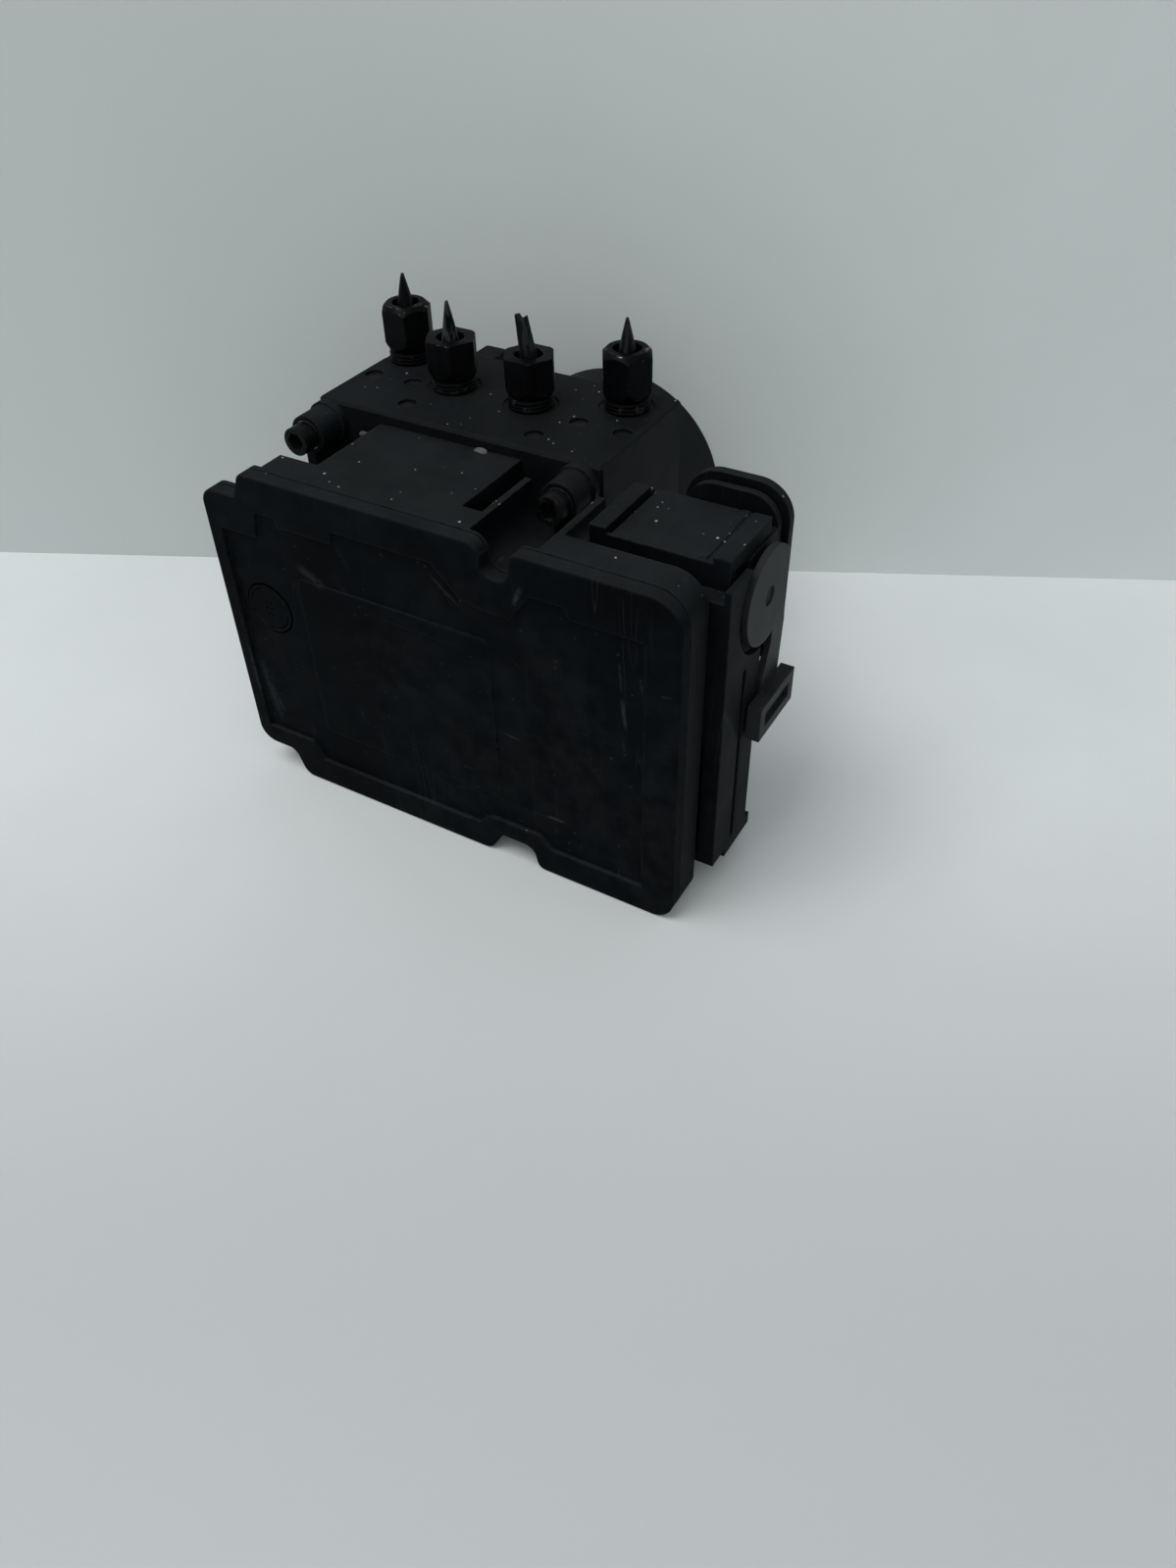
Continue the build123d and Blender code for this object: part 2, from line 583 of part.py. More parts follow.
def torn_tip(start, reach):
    """Pipe torn off at a slant, with a ragged two-pronged edge."""
    foot = Plane.XY.offset(start) * Circle(PIPE_RADIUS)
    rim = Plane.XY.offset(start + reach) * Ellipse(PIPE_RADIUS * 0.8, PIPE_RADIUS * 0.5)
    sleeve = loft([foot, Pos(-reach * 0.16, 0, 0) * rim])
    mouth = Pos(-reach * 0.14, 0, start + reach) * Rot(90, 0, 0) * Cylinder(1.1, 4 * PIPE_RADIUS)
    slant = Pos(-reach * 0.42, 0, start + reach * 1.12) * Rot(0, 24, 0) * Box(3.0, 8.0, 3.0)
    return sleeve - mouth - slant


def top_stub(index):
    """Cut brake pipe left in one outlet port."""
    mouth = NUT_NECK + NUT_TAPER + (ROUND_NUT_LENGTH if index in (0, 3) else HEX_NUT_LENGTH)
    start = mouth - 1.0
    reach = STUB_REACH + (0 if index in (0, 3) else ROUND_NUT_LENGTH - HEX_NUT_LENGTH)
    if index == TORN_STUB:
        tip = torn_tip(start, reach)
    else:
        tip = Rot(0, 0, PINCH_TURN) * pinched_tip(start, reach, PINCH_LEANS[index])
    return top_port_places()[index] * (pipe_base(NUT_INSERTION, start) + tip)


def rear_stubs():
    """Cut inlet pipes, sheared just outside their nuts."""
    insertion = INLET_PORT_DEPTH + SEAT_DEPTH
    mouth = NUT_NECK + NUT_TAPER + HEX_NUT_LENGTH
    stub = pipe_base(insertion, mouth) + pinched_tip(mouth, REAR_STUB_REACH, 0)
    return [place * stub for place in rear_port_places()]


# ---- valves, drawn with Z out of the block's front face ----
def valve_cartridge():
    """Turned valve body with a thin closed tube that carries the plunger."""
    body = VALVE_RADIUS - SEAT_GAP
    tube = VALVE_TUBE_RADIUS
    bore = tube - VALVE_TUBE_WALL
    rod = PLUNGER_ROD_RADIUS + RUNNING_GAP
    core_face = VALVE_TUBE_REACH - VALVE_TUBE_WALL - PLUNGER_LENGTH - 1.2
    seat = -VALVE_DEPTH + 4.0
    return turned(
        (rod / 2, -VALVE_DEPTH), (body, -VALVE_DEPTH), (body, 0), (tube, 0), (tube, VALVE_TUBE_REACH),
        (0, VALVE_TUBE_REACH), (0, VALVE_TUBE_REACH - VALVE_TUBE_WALL),
        (bore, VALVE_TUBE_REACH - VALVE_TUBE_WALL), (bore, core_face), (rod, core_face), (rod, seat),
        (rod / 2, seat),
    )


def valve_plunger(seated):
    """Armature with its rod; the rod tip lies on the seat or one stroke off it."""
    radius = VALVE_TUBE_RADIUS - VALVE_TUBE_WALL - RUNNING_GAP
    seat = -VALVE_DEPTH + 4.0
    tip = seat + (SEAT_GAP if seated else SEAT_GAP + VALVE_STROKE)
    top = VALVE_TUBE_REACH - VALVE_TUBE_WALL - 0.5
    shoulder = top - PLUNGER_LENGTH
    rod = PLUNGER_ROD_RADIUS
    return turned(
        (0, tip), (rod * 0.6, tip), (rod, tip + 1), (rod, shoulder), (radius, shoulder),
        (radius, top), (0, top),
    )


def valve_coil():
    """Wound coil on its bobbin."""
    low = LOOSE_GAP + YOKE_WALL
    inner = VALVE_TUBE_RADIUS + LOOSE_GAP
    high = low + COIL_LENGTH
    return turned((inner, low), (COIL_RADIUS, low), (COIL_RADIUS, high), (inner, high))


def coil_yoke():
    """Bent steel frame that closes the magnetic circuit round a coil."""
    half = COIL_RADIUS + SEAT_GAP
    height = COIL_LENGTH + 2 * YOKE_WALL
    frame = Box(2 * (half + YOKE_WALL), COIL_RADIUS * 1.1, height)
    frame -= Box(2 * half, COIL_RADIUS * 2, COIL_LENGTH)
    frame -= Cylinder(VALVE_TUBE_RADIUS + LOOSE_GAP, height + 1)
    return Pos(0, 0, LOOSE_GAP + height / 2) * frame


# ---- pump and accumulator pieces ----
def pump_piston():
    """Right-hand pump piston with its spring collar."""
    body = rod_x(PUMP_AXIS_Y, MOTOR_AXIS_Z, PISTON_INNER, PISTON_INNER + PISTON_LENGTH, PISTON_RADIUS)
    collar_at = CHAMBER_FLOOR + LOOSE_GAP
    collar_end = collar_at + PISTON_COLLAR_LENGTH
    return body + rod_x(PUMP_AXIS_Y, MOTOR_AXIS_Z, collar_at, collar_end, PISTON_COLLAR_RADIUS)


def coil_spring(radius, room, turns):
    """Wound wire spring about Z that fills a room from zero up."""
    end = SPRING_WIRE_RADIUS + SEAT_GAP
    height = room - 2 * end
    path = Pos(0, 0, end) * Helix(height / turns, height, radius)
    wire = Plane(origin=path @ 0, z_dir=path % 0) * Circle(SPRING_WIRE_RADIUS)
    return sweep(wire, path=path)


def pump_spring():
    """Return spring between the right-hand piston's collar and the plug."""
    low = CHAMBER_FLOOR + LOOSE_GAP + PISTON_COLLAR_LENGTH
    room = BLOCK_SIDE - PUMP_PLUG_LENGTH - PLUG_SUNK - low
    place = Pos(low, PUMP_AXIS_Y, MOTOR_AXIS_Z) * Rot(0, 90, 0)
    return place * coil_spring(PUMP_SPRING_RADIUS, room, PUMP_SPRING_TURNS)


def pump_plug():
    """Screwed plug that closes the right-hand pump bore."""
    outer = BLOCK_SIDE - PLUG_SUNK
    radius = PUMP_CHAMBER_RADIUS - THREAD_GAP
    plug = rod_x(PUMP_AXIS_Y, MOTOR_AXIS_Z, outer - PUMP_PLUG_LENGTH, outer, radius)
    key = Pos(outer, PUMP_AXIS_Y, MOTOR_AXIS_Z) * Rot(0, 90, 0) * RegularPolygon(3.0, 6)
    return plug - extrude(key, -4.0)


def accumulator_piston():
    """Right-hand accumulator piston, a cup open towards its spring."""
    top = ACCUMULATOR_DEPTH - LOOSE_GAP
    radius = ACCUMULATOR_RADIUS - RUNNING_GAP
    cup = rod_z(ACCUMULATOR_X, ACCUMULATOR_Y, top - ACCUMULATOR_PISTON_LENGTH, top, radius)
    crown = top - ACCUMULATOR_CROWN
    hollow = rod_z(ACCUMULATOR_X, ACCUMULATOR_Y, top - ACCUMULATOR_PISTON_LENGTH - 1, crown, radius - 2)
    return cup - hollow


def accumulator_spring():
    """Spring between the right-hand accumulator's cap and the crown of its piston."""
    low = ACCUMULATOR_CAP_SUNK + ACCUMULATOR_CAP_LENGTH
    room = ACCUMULATOR_DEPTH - LOOSE_GAP - ACCUMULATOR_CROWN - low
    place = Pos(ACCUMULATOR_X, ACCUMULATOR_Y, low)
    return place * coil_spring(ACCUMULATOR_SPRING_RADIUS, room, ACCUMULATOR_SPRING_TURNS)


def accumulator_cap():
    """Pressed cap under the right-hand accumulator."""
    radius = ACCUMULATOR_RADIUS - SEAT_GAP
    high = ACCUMULATOR_CAP_SUNK + ACCUMULATOR_CAP_LENGTH
    return rod_z(ACCUMULATOR_X, ACCUMULATOR_Y, ACCUMULATOR_CAP_SUNK, high, radius)


# ---- motor, drawn about the motor axis with Z towards the rear and zero at the block ----
def motor_place():
    """Frame of the motor axis where it meets the block."""
    return Pos(0, BLOCK_BACK, MOTOR_AXIS_Z) * Rot(-90, 0, 0)


def bearing_pocket():
    """(low, high) of the rear bearing along the motor axis."""
    high = MOTOR_LENGTH - MOTOR_WALL
    return high - BEARING_WIDTH, high


def make_motor_can():
    """Deep-drawn steel can with three screw ears and a pocket for the rear bearing."""
    inner = MOTOR_RADIUS - MOTOR_WALL
    low, high = bearing_pocket()
    can = Pos(0, 0, MOTOR_LENGTH / 2) * Cylinder(MOTOR_RADIUS, MOTOR_LENGTH)
    can = fillet(can.edges().group_by(Axis.Z)[-1], MOTOR_EDGE_ROUND)
    for place in motor_screw_places():
        local = motor_place().inverse() * place
        can += local * rod_z(0, 0, 0, MOTOR_FLANGE_THICKNESS, MOTOR_EAR_RADIUS)
    can -= rod_z(0, 0, -1, high, inner)
    seat = rod_z(0, 0, low + 1, high + MOTOR_WALL / 2, BEARING_RADIUS + MOTOR_WALL)
    can += seat - rod_z(0, 0, low, high, BEARING_RADIUS)
    for place in motor_screw_places():
        local = motor_place().inverse() * place
        can -= local * rod_z(0, 0, -1, MOTOR_FLANGE_THICKNESS + 1, MOTOR_SCREW_RADIUS + LOOSE_GAP)
    return motor_place() * can


def bearing(low, high):
    """Bearing drawn as one ring about the shaft."""
    inner = SHAFT_RADIUS + RUNNING_GAP
    outer = BEARING_RADIUS - SEAT_GAP
    return motor_place() * turned((inner, low), (outer, low), (outer, high), (inner, high))


def make_end_plate():
    """Steel plate that closes the can and carries the front bearing."""
    radius = MOTOR_RADIUS - MOTOR_WALL - SEAT_GAP
    hub = BEARING_RADIUS + MOTOR_WALL
    plate = turned(
        (BEARING_RADIUS, 0), (radius, 0), (radius, END_PLATE_THICKNESS), (hub, END_PLATE_THICKNESS),
        (hub, BEARING_WIDTH), (BEARING_RADIUS, BEARING_WIDTH),
    )
    plate -= Pos(0, MOTOR_AXIS_Z - TERMINAL_Z, 0) * Cylinder(TERMINAL_BORE_RADIUS + LOOSE_GAP, 20)
    return motor_place() * plate


def make_magnets():
    """Four curved magnets against the can wall."""
    outer = MOTOR_RADIUS - MOTOR_WALL - SEAT_GAP
    inner = ARMATURE_RADIUS + AIR_GAP
    low = BEARING_WIDTH + BRUSH_CARD_THICKNESS + COMMUTATOR_LENGTH
    high = low + ARMATURE_LENGTH
    rim = Polyline((inner, low), (outer, low), (outer, high), (inner, high), close=True)
    magnet = revolve(make_face(Plane.XZ * rim), Axis.Z, MAGNET_ARC)
    return [motor_place() * Rot(0, 0, 90 * turn + 12) * magnet for turn in range(4)]


def make_armature():
    """Slotted lamination stack with its windings."""
    low = BEARING_WIDTH + BRUSH_CARD_THICKNESS + COMMUTATOR_LENGTH + 0.5
    high = low + ARMATURE_LENGTH - 1
    inner = SHAFT_RADIUS
    outer = ARMATURE_RADIUS
    stack = turned((inner, low), (outer, low), (outer, high), (inner, high))
    slot = Pos(ARMATURE_RADIUS, 0, (low + high) / 2) * Box(6.0, 2.6, ARMATURE_LENGTH + 2)
    slots = [Rot(0, 0, 360 / ARMATURE_SLOTS * count) * slot for count in range(ARMATURE_SLOTS)]
    return motor_place() * (stack - slots)


def make_commutator():
    """Copper commutator on the shaft."""
    low = BEARING_WIDTH + BRUSH_CARD_THICKNESS
    high = low + COMMUTATOR_LENGTH
    return motor_place() * turned(
        (SHAFT_RADIUS, low), (COMMUTATOR_RADIUS, low), (COMMUTATOR_RADIUS, high), (SHAFT_RADIUS, high)
    )


def make_shaft():
    """Motor shaft with the pump eccentric turned on its front end."""
    rear = bearing_pocket()[1] - 0.5
    front = PUMP_AXIS_Y - BLOCK_BACK - CRANK_RING_WIDTH / 2 - 0.4
    shaft = rod_z(0, 0, front, rear, SHAFT_RADIUS)
    centre = PUMP_AXIS_Y - BLOCK_BACK
    eccentric = rod_z(0, -ECCENTRICITY, centre - CRANK_RING_WIDTH / 2, centre + CRANK_RING_WIDTH / 2,
                      ECCENTRIC_RADIUS)
    return motor_place() * (shaft + eccentric)


def make_crank_ring():
    """Needle ring that runs on the eccentric and pushes the pistons."""
    centre = PUMP_AXIS_Y - BLOCK_BACK
    half = CRANK_RING_WIDTH / 2 - 0.2
    inner = ECCENTRIC_RADIUS + SEAT_GAP
    ring = turned((inner, -half), (CRANK_RING_RADIUS, -half), (CRANK_RING_RADIUS, half), (inner, half))
    return motor_place() * Pos(0, -ECCENTRICITY, centre) * ring


def make_brush_card():
    """Plastic card with two brush boxes facing the commutator."""
    low = BEARING_WIDTH
    radius = MOTOR_RADIUS - MOTOR_WALL - LOOSE_GAP
    card = turned((BEARING_RADIUS + 0.5, low), (radius, low), (radius, low + BRUSH_CARD_THICKNESS),
                  (BEARING_RADIUS + 0.5, low + BRUSH_CARD_THICKNESS))
    top = low + BRUSH_CARD_THICKNESS
    x_low = COMMUTATOR_RADIUS + 2.0
    x_high = x_low + BRUSH_BOX_LENGTH
    half = BRUSH_WIDTH / 2
    box_half = half + BRUSH_BOX_WALL
    box_top = top + BRUSH_WIDTH + BRUSH_BOX_WALL
    room = half + SEAT_GAP
    holder = box_between(x_low, x_high, -box_half, box_half, top - 0.5, box_top)
    holder -= box_between(x_low - 1, x_high + 1, -room, room, top, top + BRUSH_WIDTH)
    return motor_place() * (card + mirrored_pair(holder))


def make_brushes():
    """Two carbon brushes resting on the commutator."""
    low = BEARING_WIDTH + BRUSH_CARD_THICKNESS + SEAT_GAP
    half = BRUSH_WIDTH / 2
    inner = COMMUTATOR_RADIUS - 1
    outer = COMMUTATOR_RADIUS + BRUSH_LENGTH
    brush = box_between(inner, outer, -half, half, low, low + BRUSH_WIDTH - 0.2)
    brush -= rod_z(0, 0, low - 1, low + BRUSH_WIDTH + 1, COMMUTATOR_RADIUS + RUNNING_GAP)
    return [motor_place() * piece for piece in mirrored_pair(brush)]


def make_motor_screws():
    """Three screws through the can's ears into the block."""
    seat = MOTOR_FLANGE_THICKNESS
    head = rod_z(0, 0, seat, seat + MOTOR_HEAD_LENGTH, MOTOR_HEAD_RADIUS)
    head -= extrude(Plane.XY.offset(seat + 1) * RegularPolygon(SOCKET_RADIUS, 6), 4)
    shank = rod_z(0, 0, 1 - MOTOR_SCREW_LENGTH, seat + 0.5, MOTOR_SCREW_RADIUS)
    return [place * (head + shank) for place in motor_screw_places()]


def make_motor_terminals():
    """Two blades from the brush card through the block to the circuit board."""
    blades = []
    for side in (-1, 1):
        x = side * TERMINAL_PITCH / 2
        blades.append(box_between(x - TERMINAL_WIDTH / 2, x + TERMINAL_WIDTH / 2, BOARD_BACK,
                                  BLOCK_BACK + BEARING_WIDTH, TERMINAL_Z - 1.2, TERMINAL_Z + 1.2))
    return blades


def make_terminal_sleeve():
    """Insulating tube round the motor blades inside the block."""
    high = BLOCK_BACK + BEARING_WIDTH - 0.1
    sleeve = rod_y(0, TERMINAL_Z, BLOCK_FRONT + 0.5, high, TERMINAL_BORE_RADIUS - 0.15)
    for side in (-1, 1):
        x = side * TERMINAL_PITCH / 2
        half = TERMINAL_WIDTH / 2 + SEAT_GAP
        slot_low = TERMINAL_Z - 1.25
        slot_high = TERMINAL_Z + 1.25
        sleeve -= box_between(x - half, x + half, BLOCK_FRONT, high + 1, slot_low, slot_high)
    return sleeve


# ---- control unit ----
def unit_outline():
    """Front outline of the control unit, with stepped corners and screwdriver notches."""
    top_step = UNIT_TOP - TOP_STEP_DROP
    notch = (SCREW_RIGHT_X - NOTCH_HALF_WIDTH, SCREW_RIGHT_X + NOTCH_HALF_WIDTH)
    notch_floor = UNIT_TOP - NOTCH_DEPTH
    foot = (SCREW_RIGHT_X - FOOT_NOTCH_HALF_WIDTH, SCREW_RIGHT_X + FOOT_NOTCH_HALF_WIDTH)
    corners = (
        ((UNIT_LEFT, BOTTOM_STEP_RISE), 5.5), ((UNIT_LEFT, top_step), 4.5),
        ((TOP_STEP_X, top_step), 1.2), ((TOP_STEP_X + STEP_SLANT, UNIT_TOP), 2.8),
        ((notch[0], UNIT_TOP), 4.6), ((notch[0], notch_floor), 3.6),
        ((notch[1], notch_floor), 3.6), ((notch[1], UNIT_TOP), 2.8),
        ((UNIT_RIGHT, UNIT_TOP), 9.0), ((UNIT_RIGHT, 0), 6.0),
        ((foot[1] + 1.5, 0), 2.8), ((foot[1], FOOT_NOTCH_HEIGHT), 3.5),
        ((foot[0], FOOT_NOTCH_HEIGHT), 3.5), ((foot[0] - 2.5, 0), 3.5),
        ((BOTTOM_STEP_X + STEP_SLANT, 0), 4.0), ((BOTTOM_STEP_X, BOTTOM_STEP_RISE), 3.0),
    )
    return closed(*[corner for corner, _ in corners], radius=[radius for _, radius in corners])


def panel_outline():
    """Sunk panel of the lid: stepped along the top, cut away round the notch."""
    notch_left = SCREW_RIGHT_X - 10.5
    notch_right = SCREW_RIGHT_X + 9.5
    corners = (
        (PANEL_LEFT, PANEL_BOTTOM_Z + 6), (PANEL_LEFT, PANEL_TOP_Z - 9),
        (PANEL_LEFT + 12.5, PANEL_TOP_Z - 9),
        (PANEL_LEFT + 13.7, PANEL_TOP_Z - 1.2), (PANEL_LEFT + 20.4, PANEL_TOP_Z - 1.2),
        (PANEL_LEFT + 21.1, PANEL_TOP_Z - 3.7), (PANEL_LEFT + 38.2, PANEL_TOP_Z - 3.7),
        (PANEL_LEFT + 39, PANEL_TOP_Z), (SCREW_RIGHT_X - 18.6, PANEL_TOP_Z),
        (notch_left, PANEL_TOP_Z - 8), (SCREW_RIGHT_X - 4, PANEL_TOP_Z - 9.2),
        (SCREW_RIGHT_X + 4, PANEL_TOP_Z - 9.2), (notch_right, PANEL_TOP_Z - 1),
        (SCREW_RIGHT_X + 18.9, PANEL_TOP_Z - 1), (SCREW_RIGHT_X + 20.4, PANEL_TOP_Z - 4),
        (PANEL_RIGHT, PANEL_TOP_Z - 4),
        (PANEL_RIGHT, PANEL_BOTTOM_Z), (SCREW_RIGHT_X + 12, PANEL_BOTTOM_Z),
        (SCREW_RIGHT_X + 8, PANEL_BOTTOM_Z + 4), (SCREW_RIGHT_X - 8, PANEL_BOTTOM_Z + 4),
        (SCREW_RIGHT_X - 12, PANEL_BOTTOM_Z), (PANEL_LEFT + 19.7, PANEL_BOTTOM_Z),
        (PANEL_LEFT + 16.2, PANEL_BOTTOM_Z + 6),
    )
    return closed(*corners, radius=0.6)


def make_ecu_lid():
    """Welded lid: rounded rim, sunk panel, raised label field and a seat for the vent."""
    lid = slab_y(unit_outline(), UNIT_FRONT, LID_BACK)
    lid = chamfer(lid.edges().group_by(Axis.Y)[-1], SEAM_CHAMFER)
    lid = fillet(lid.edges().group_by(Axis.Y)[0], 0.8)
    lid -= slab_y(panel_outline(), UNIT_FRONT - 1, UNIT_FRONT + PANEL_DEPTH)
    label = rounded_rectangle(PANEL_LEFT + LABEL_LEFT_INSET, PANEL_RIGHT - LABEL_RIGHT_INSET,
                              PANEL_BOTTOM_Z + LABEL_BOTTOM_INSET, PANEL_TOP_Z - LABEL_TOP_INSET, 2.5)
    lid += slab_y(label, UNIT_FRONT + PANEL_DEPTH - LABEL_RISE, LID_BACK - LID_POCKET)
    vent_floor = UNIT_FRONT + PANEL_DEPTH + VENT_THICKNESS - 0.2
    lid -= rod_y(VENT_X, VENT_Z, UNIT_FRONT, vent_floor, VENT_RADIUS + 0.35)
    lid -= rod_y(VENT_X, VENT_Z, UNIT_FRONT, LID_BACK, 2.6)
    return lid - slab_y(unit_room(), LID_BACK - LID_POCKET, LID_BACK + 1)


def make_vent_cap():
    """Round vent plug with a stepped rim and a cluster of small holes."""
    face = UNIT_FRONT + PANEL_DEPTH - 0.2
    cap = rod_y(VENT_X, VENT_Z, face, face + VENT_THICKNESS, VENT_RADIUS)
    cap -= rod_y(VENT_X, VENT_Z, face - 1, face + 0.35, VENT_RADIUS - 0.8)
    cap += rod_y(VENT_X, VENT_Z, face + 0.05, face + VENT_THICKNESS, VENT_RADIUS - 1.4)
    for place in GridLocations(1.7, 2.0, 2, 3):
        x, z = VENT_X + place.position.X, VENT_Z + place.position.Y
        cap -= rod_y(x, z, face - 1, face + 3, VENT_HOLE_RADIUS)
    return cap


def flange():
    """Rim of the housing that meets the lid, stepped in at the upper left, chamfered at the back."""
    corner = rectangle_between(UNIT_LEFT - 1, CORNER_CUT_X, UNIT_TOP - CORNER_CUT, UNIT_TOP + 1)
    outline = unit_outline() - corner
    rim = slab_y(outline, LID_BACK + RIM_LAND, FLANGE_BACK)
    rim = chamfer(rim.edges().group_by(Axis.Y)[-1], FLANGE_CHAMFER)
    return rim + slab_y(unit_outline(), LID_BACK, LID_BACK + RIM_LAND)


def unit_room():
    """Space inside the rim for the circuit board, as a face in (x, z)."""
    edge = CORNER_CUT_X + UNIT_WALL
    corner = rectangle_between(UNIT_LEFT, edge, UNIT_TOP - CORNER_CUT - UNIT_WALL, UNIT_TOP)
    return offset(unit_outline(), -UNIT_WALL, kind=Kind.INTERSECTION) - corner


def bay_outline():
    """Outline in X and Z of the housing part that covers the valve coils."""
    half = BLOCK_SIDE
    face = rectangle_between(-half, half, 0, CORE_TOP_Z)
    face += rectangle_between(-half, DECK_LEFT + 1, CORE_TOP_Z - 1, UNIT_TOP - TOP_STEP_DROP)
    face += rectangle_between(DECK_LEFT, DECK_RIGHT, CORE_TOP_Z - 1, UNIT_TOP)
    face -= Pos(SCREW_LEFT_X, SCREW_HIGH_Z + VALLEY_RISE) * Circle(VALLEY_RADIUS)
    for x in (SCREW_LEFT_X, SCREW_RIGHT_X):
        face -= Pos(x, SCREW_LOW_Z) * Circle(WELL_RADIUS)
    return face


def bay_room():
    """(main room, rooms above and below it) of the coil bay, as faces in (x, z)."""
    wall = BLOCK_SIDE - UNIT_WALL
    deck_left = SCREW_LEFT_X + VALLEY_RADIUS + UNIT_WALL
    foot_left = SCREW_LEFT_X + WELL_RADIUS + UNIT_WALL
    foot_right = SCREW_RIGHT_X - WELL_RADIUS - UNIT_WALL
    main_room = rectangle_between(-wall, wall, BAY_FLOOR_Z, BAY_CEILING_Z)
    deck_right = DECK_RIGHT - UNIT_WALL
    side_rooms = rectangle_between(deck_left, deck_right, BAY_CEILING_Z - 1, UNIT_TOP - UNIT_WALL)
    side_rooms += rectangle_between(foot_left, foot_right, UNIT_WALL, BAY_FLOOR_Z + 1)
    return main_room, side_rooms


def seal_ring(clearance):
    """Path of the gasket round the coil bay, as a face in (x, z)."""
    main_room, side_rooms = bay_room()
    room = main_room + side_rooms
    return offset(room, SEAL_INSET + SEAL_WIDTH + clearance) - offset(room, SEAL_INSET - clearance)


def make_housing_seal():
    """Rubber gasket pressed between the coil bay and the block."""
    return slab_y(seal_ring(0), BLOCK_FRONT - SEAL_DEPTH, BLOCK_FRONT)


def bay_hollows():
    """Coil room and the rooms above and below it."""
    main_room, side_rooms = bay_room()
    return [slab_y(main_room, FLANGE_BACK - UNIT_BACK_FLOOR - 1, BLOCK_FRONT + 1),
            slab_y(side_rooms, FLANGE_BACK, BLOCK_FRONT + 1)]


def well_core():
    """Half-round channel that guides the driver to the upper right screw, as a solid."""
    front = UNIT_FRONT + WELL_FRONT
    return rod_y(SCREW_RIGHT_X, SCREW_HIGH_Z, front, front + WELL_LENGTH, WELL_RADIUS + WELL_WALL)


def well_bore():
    """Hollow of the screw channel, open upwards and towards the block."""
    front = UNIT_FRONT + WELL_FRONT
    return rod_y(SCREW_RIGHT_X, SCREW_HIGH_Z, front, BLOCK_FRONT + 1, WELL_RADIUS)


def screw_boss(x, z):
    """Boss round one mounting screw, with a foot at the block and a web."""
    boss = rod_y(x, z, BOSS_FRONT, BLOCK_FRONT, BOSS_RADIUS)
    boss += rod_y(x, z, BLOCK_FRONT - BOSS_FOOT_LENGTH, BLOCK_FRONT, BOSS_FOOT_RADIUS)
    reach = WELL_RADIUS + 4
    inward = -1 if z > BLOCK_HEIGHT / 2 else 1
    low, high = sorted((z, z + inward * reach))
    return boss + box_between(x - 1.6, x + 1.6, BOSS_FRONT, BLOCK_FRONT, low, high)


def tower_side():
    """Outer side wall of the tower with a round window for the plug lever's disc."""
    face = Polyline(
        (TOWER_FRONT, TOWER_BOTTOM_Z), (TOWER_FRONT + TOWER_LOW_DEPTH, TOWER_BOTTOM_Z),
        (TOWER_FRONT + TOWER_LOW_DEPTH, TOWER_TOP_Z - SIDE_DROP), (TOWER_FRONT, TOWER_TOP_Z - SIDE_DROP),
        close=True,
    )
    wall = slab_x(make_face(face), TOWER_RIGHT - SIDE_THICKNESS, TOWER_RIGHT)
    groove = TOWER_FRONT + SIDE_STRIP
    wall -= box_between(TOWER_RIGHT - GROOVE_DEPTH, TOWER_RIGHT + 1, groove, groove + GROOVE_WIDTH,
                        TOWER_BOTTOM_Z + 2, SIDE_STEP_Z)
    return wall - rod_x(PIVOT_Y, PIVOT_Z, TOWER_LEFT, TOWER_RIGHT + 1, DISC_RADIUS + DISC_GAP)


def tower_shelf():
    """Ribbed top plate of the tower."""
    low = TOWER_TOP_Z - SHELF_THICKNESS
    right_rib = TOWER_RIGHT - SIDE_THICKNESS - RIB_WIDTH - 1
    shelf = box_between(TOWER_LEFT, right_rib + 1, SHELF_FRONT, SHELF_BACK, low, TOWER_TOP_Z)
    rib_top = TOWER_TOP_Z + RIB_HEIGHT
    for x in (TOWER_LEFT, right_rib):
        shelf += box_between(x, x + RIB_WIDTH, SHELF_FRONT, SHELF_BACK - RIB_SHORT, low, rib_top)
    ridge = right_rib - 2 * RIDGE_WIDTH
    ridge_top = TOWER_TOP_Z + RIDGE_HEIGHT
    shelf += box_between(ridge, ridge + RIDGE_WIDTH, SHELF_FRONT + 1, SHELF_BACK, low, ridge_top)
    groove = TOWER_LEFT + RIB_WIDTH
    shelf -= box_between(groove, groove + GROOVE_WIDTH / 2, SHELF_FRONT + 1, SHELF_BACK + 1,
                         TOWER_TOP_Z - GROOVE_DEPTH, TOWER_TOP_Z + 1)
    leg = box_between(TOWER_LEFT, right_rib + RIB_WIDTH, SHELF_FRONT, SHELF_FRONT + SHELF_THICKNESS,
                      SHROUD_TOP_Z - SHROUD_ROUND, TOWER_TOP_Z - 1)
    return shelf + leg


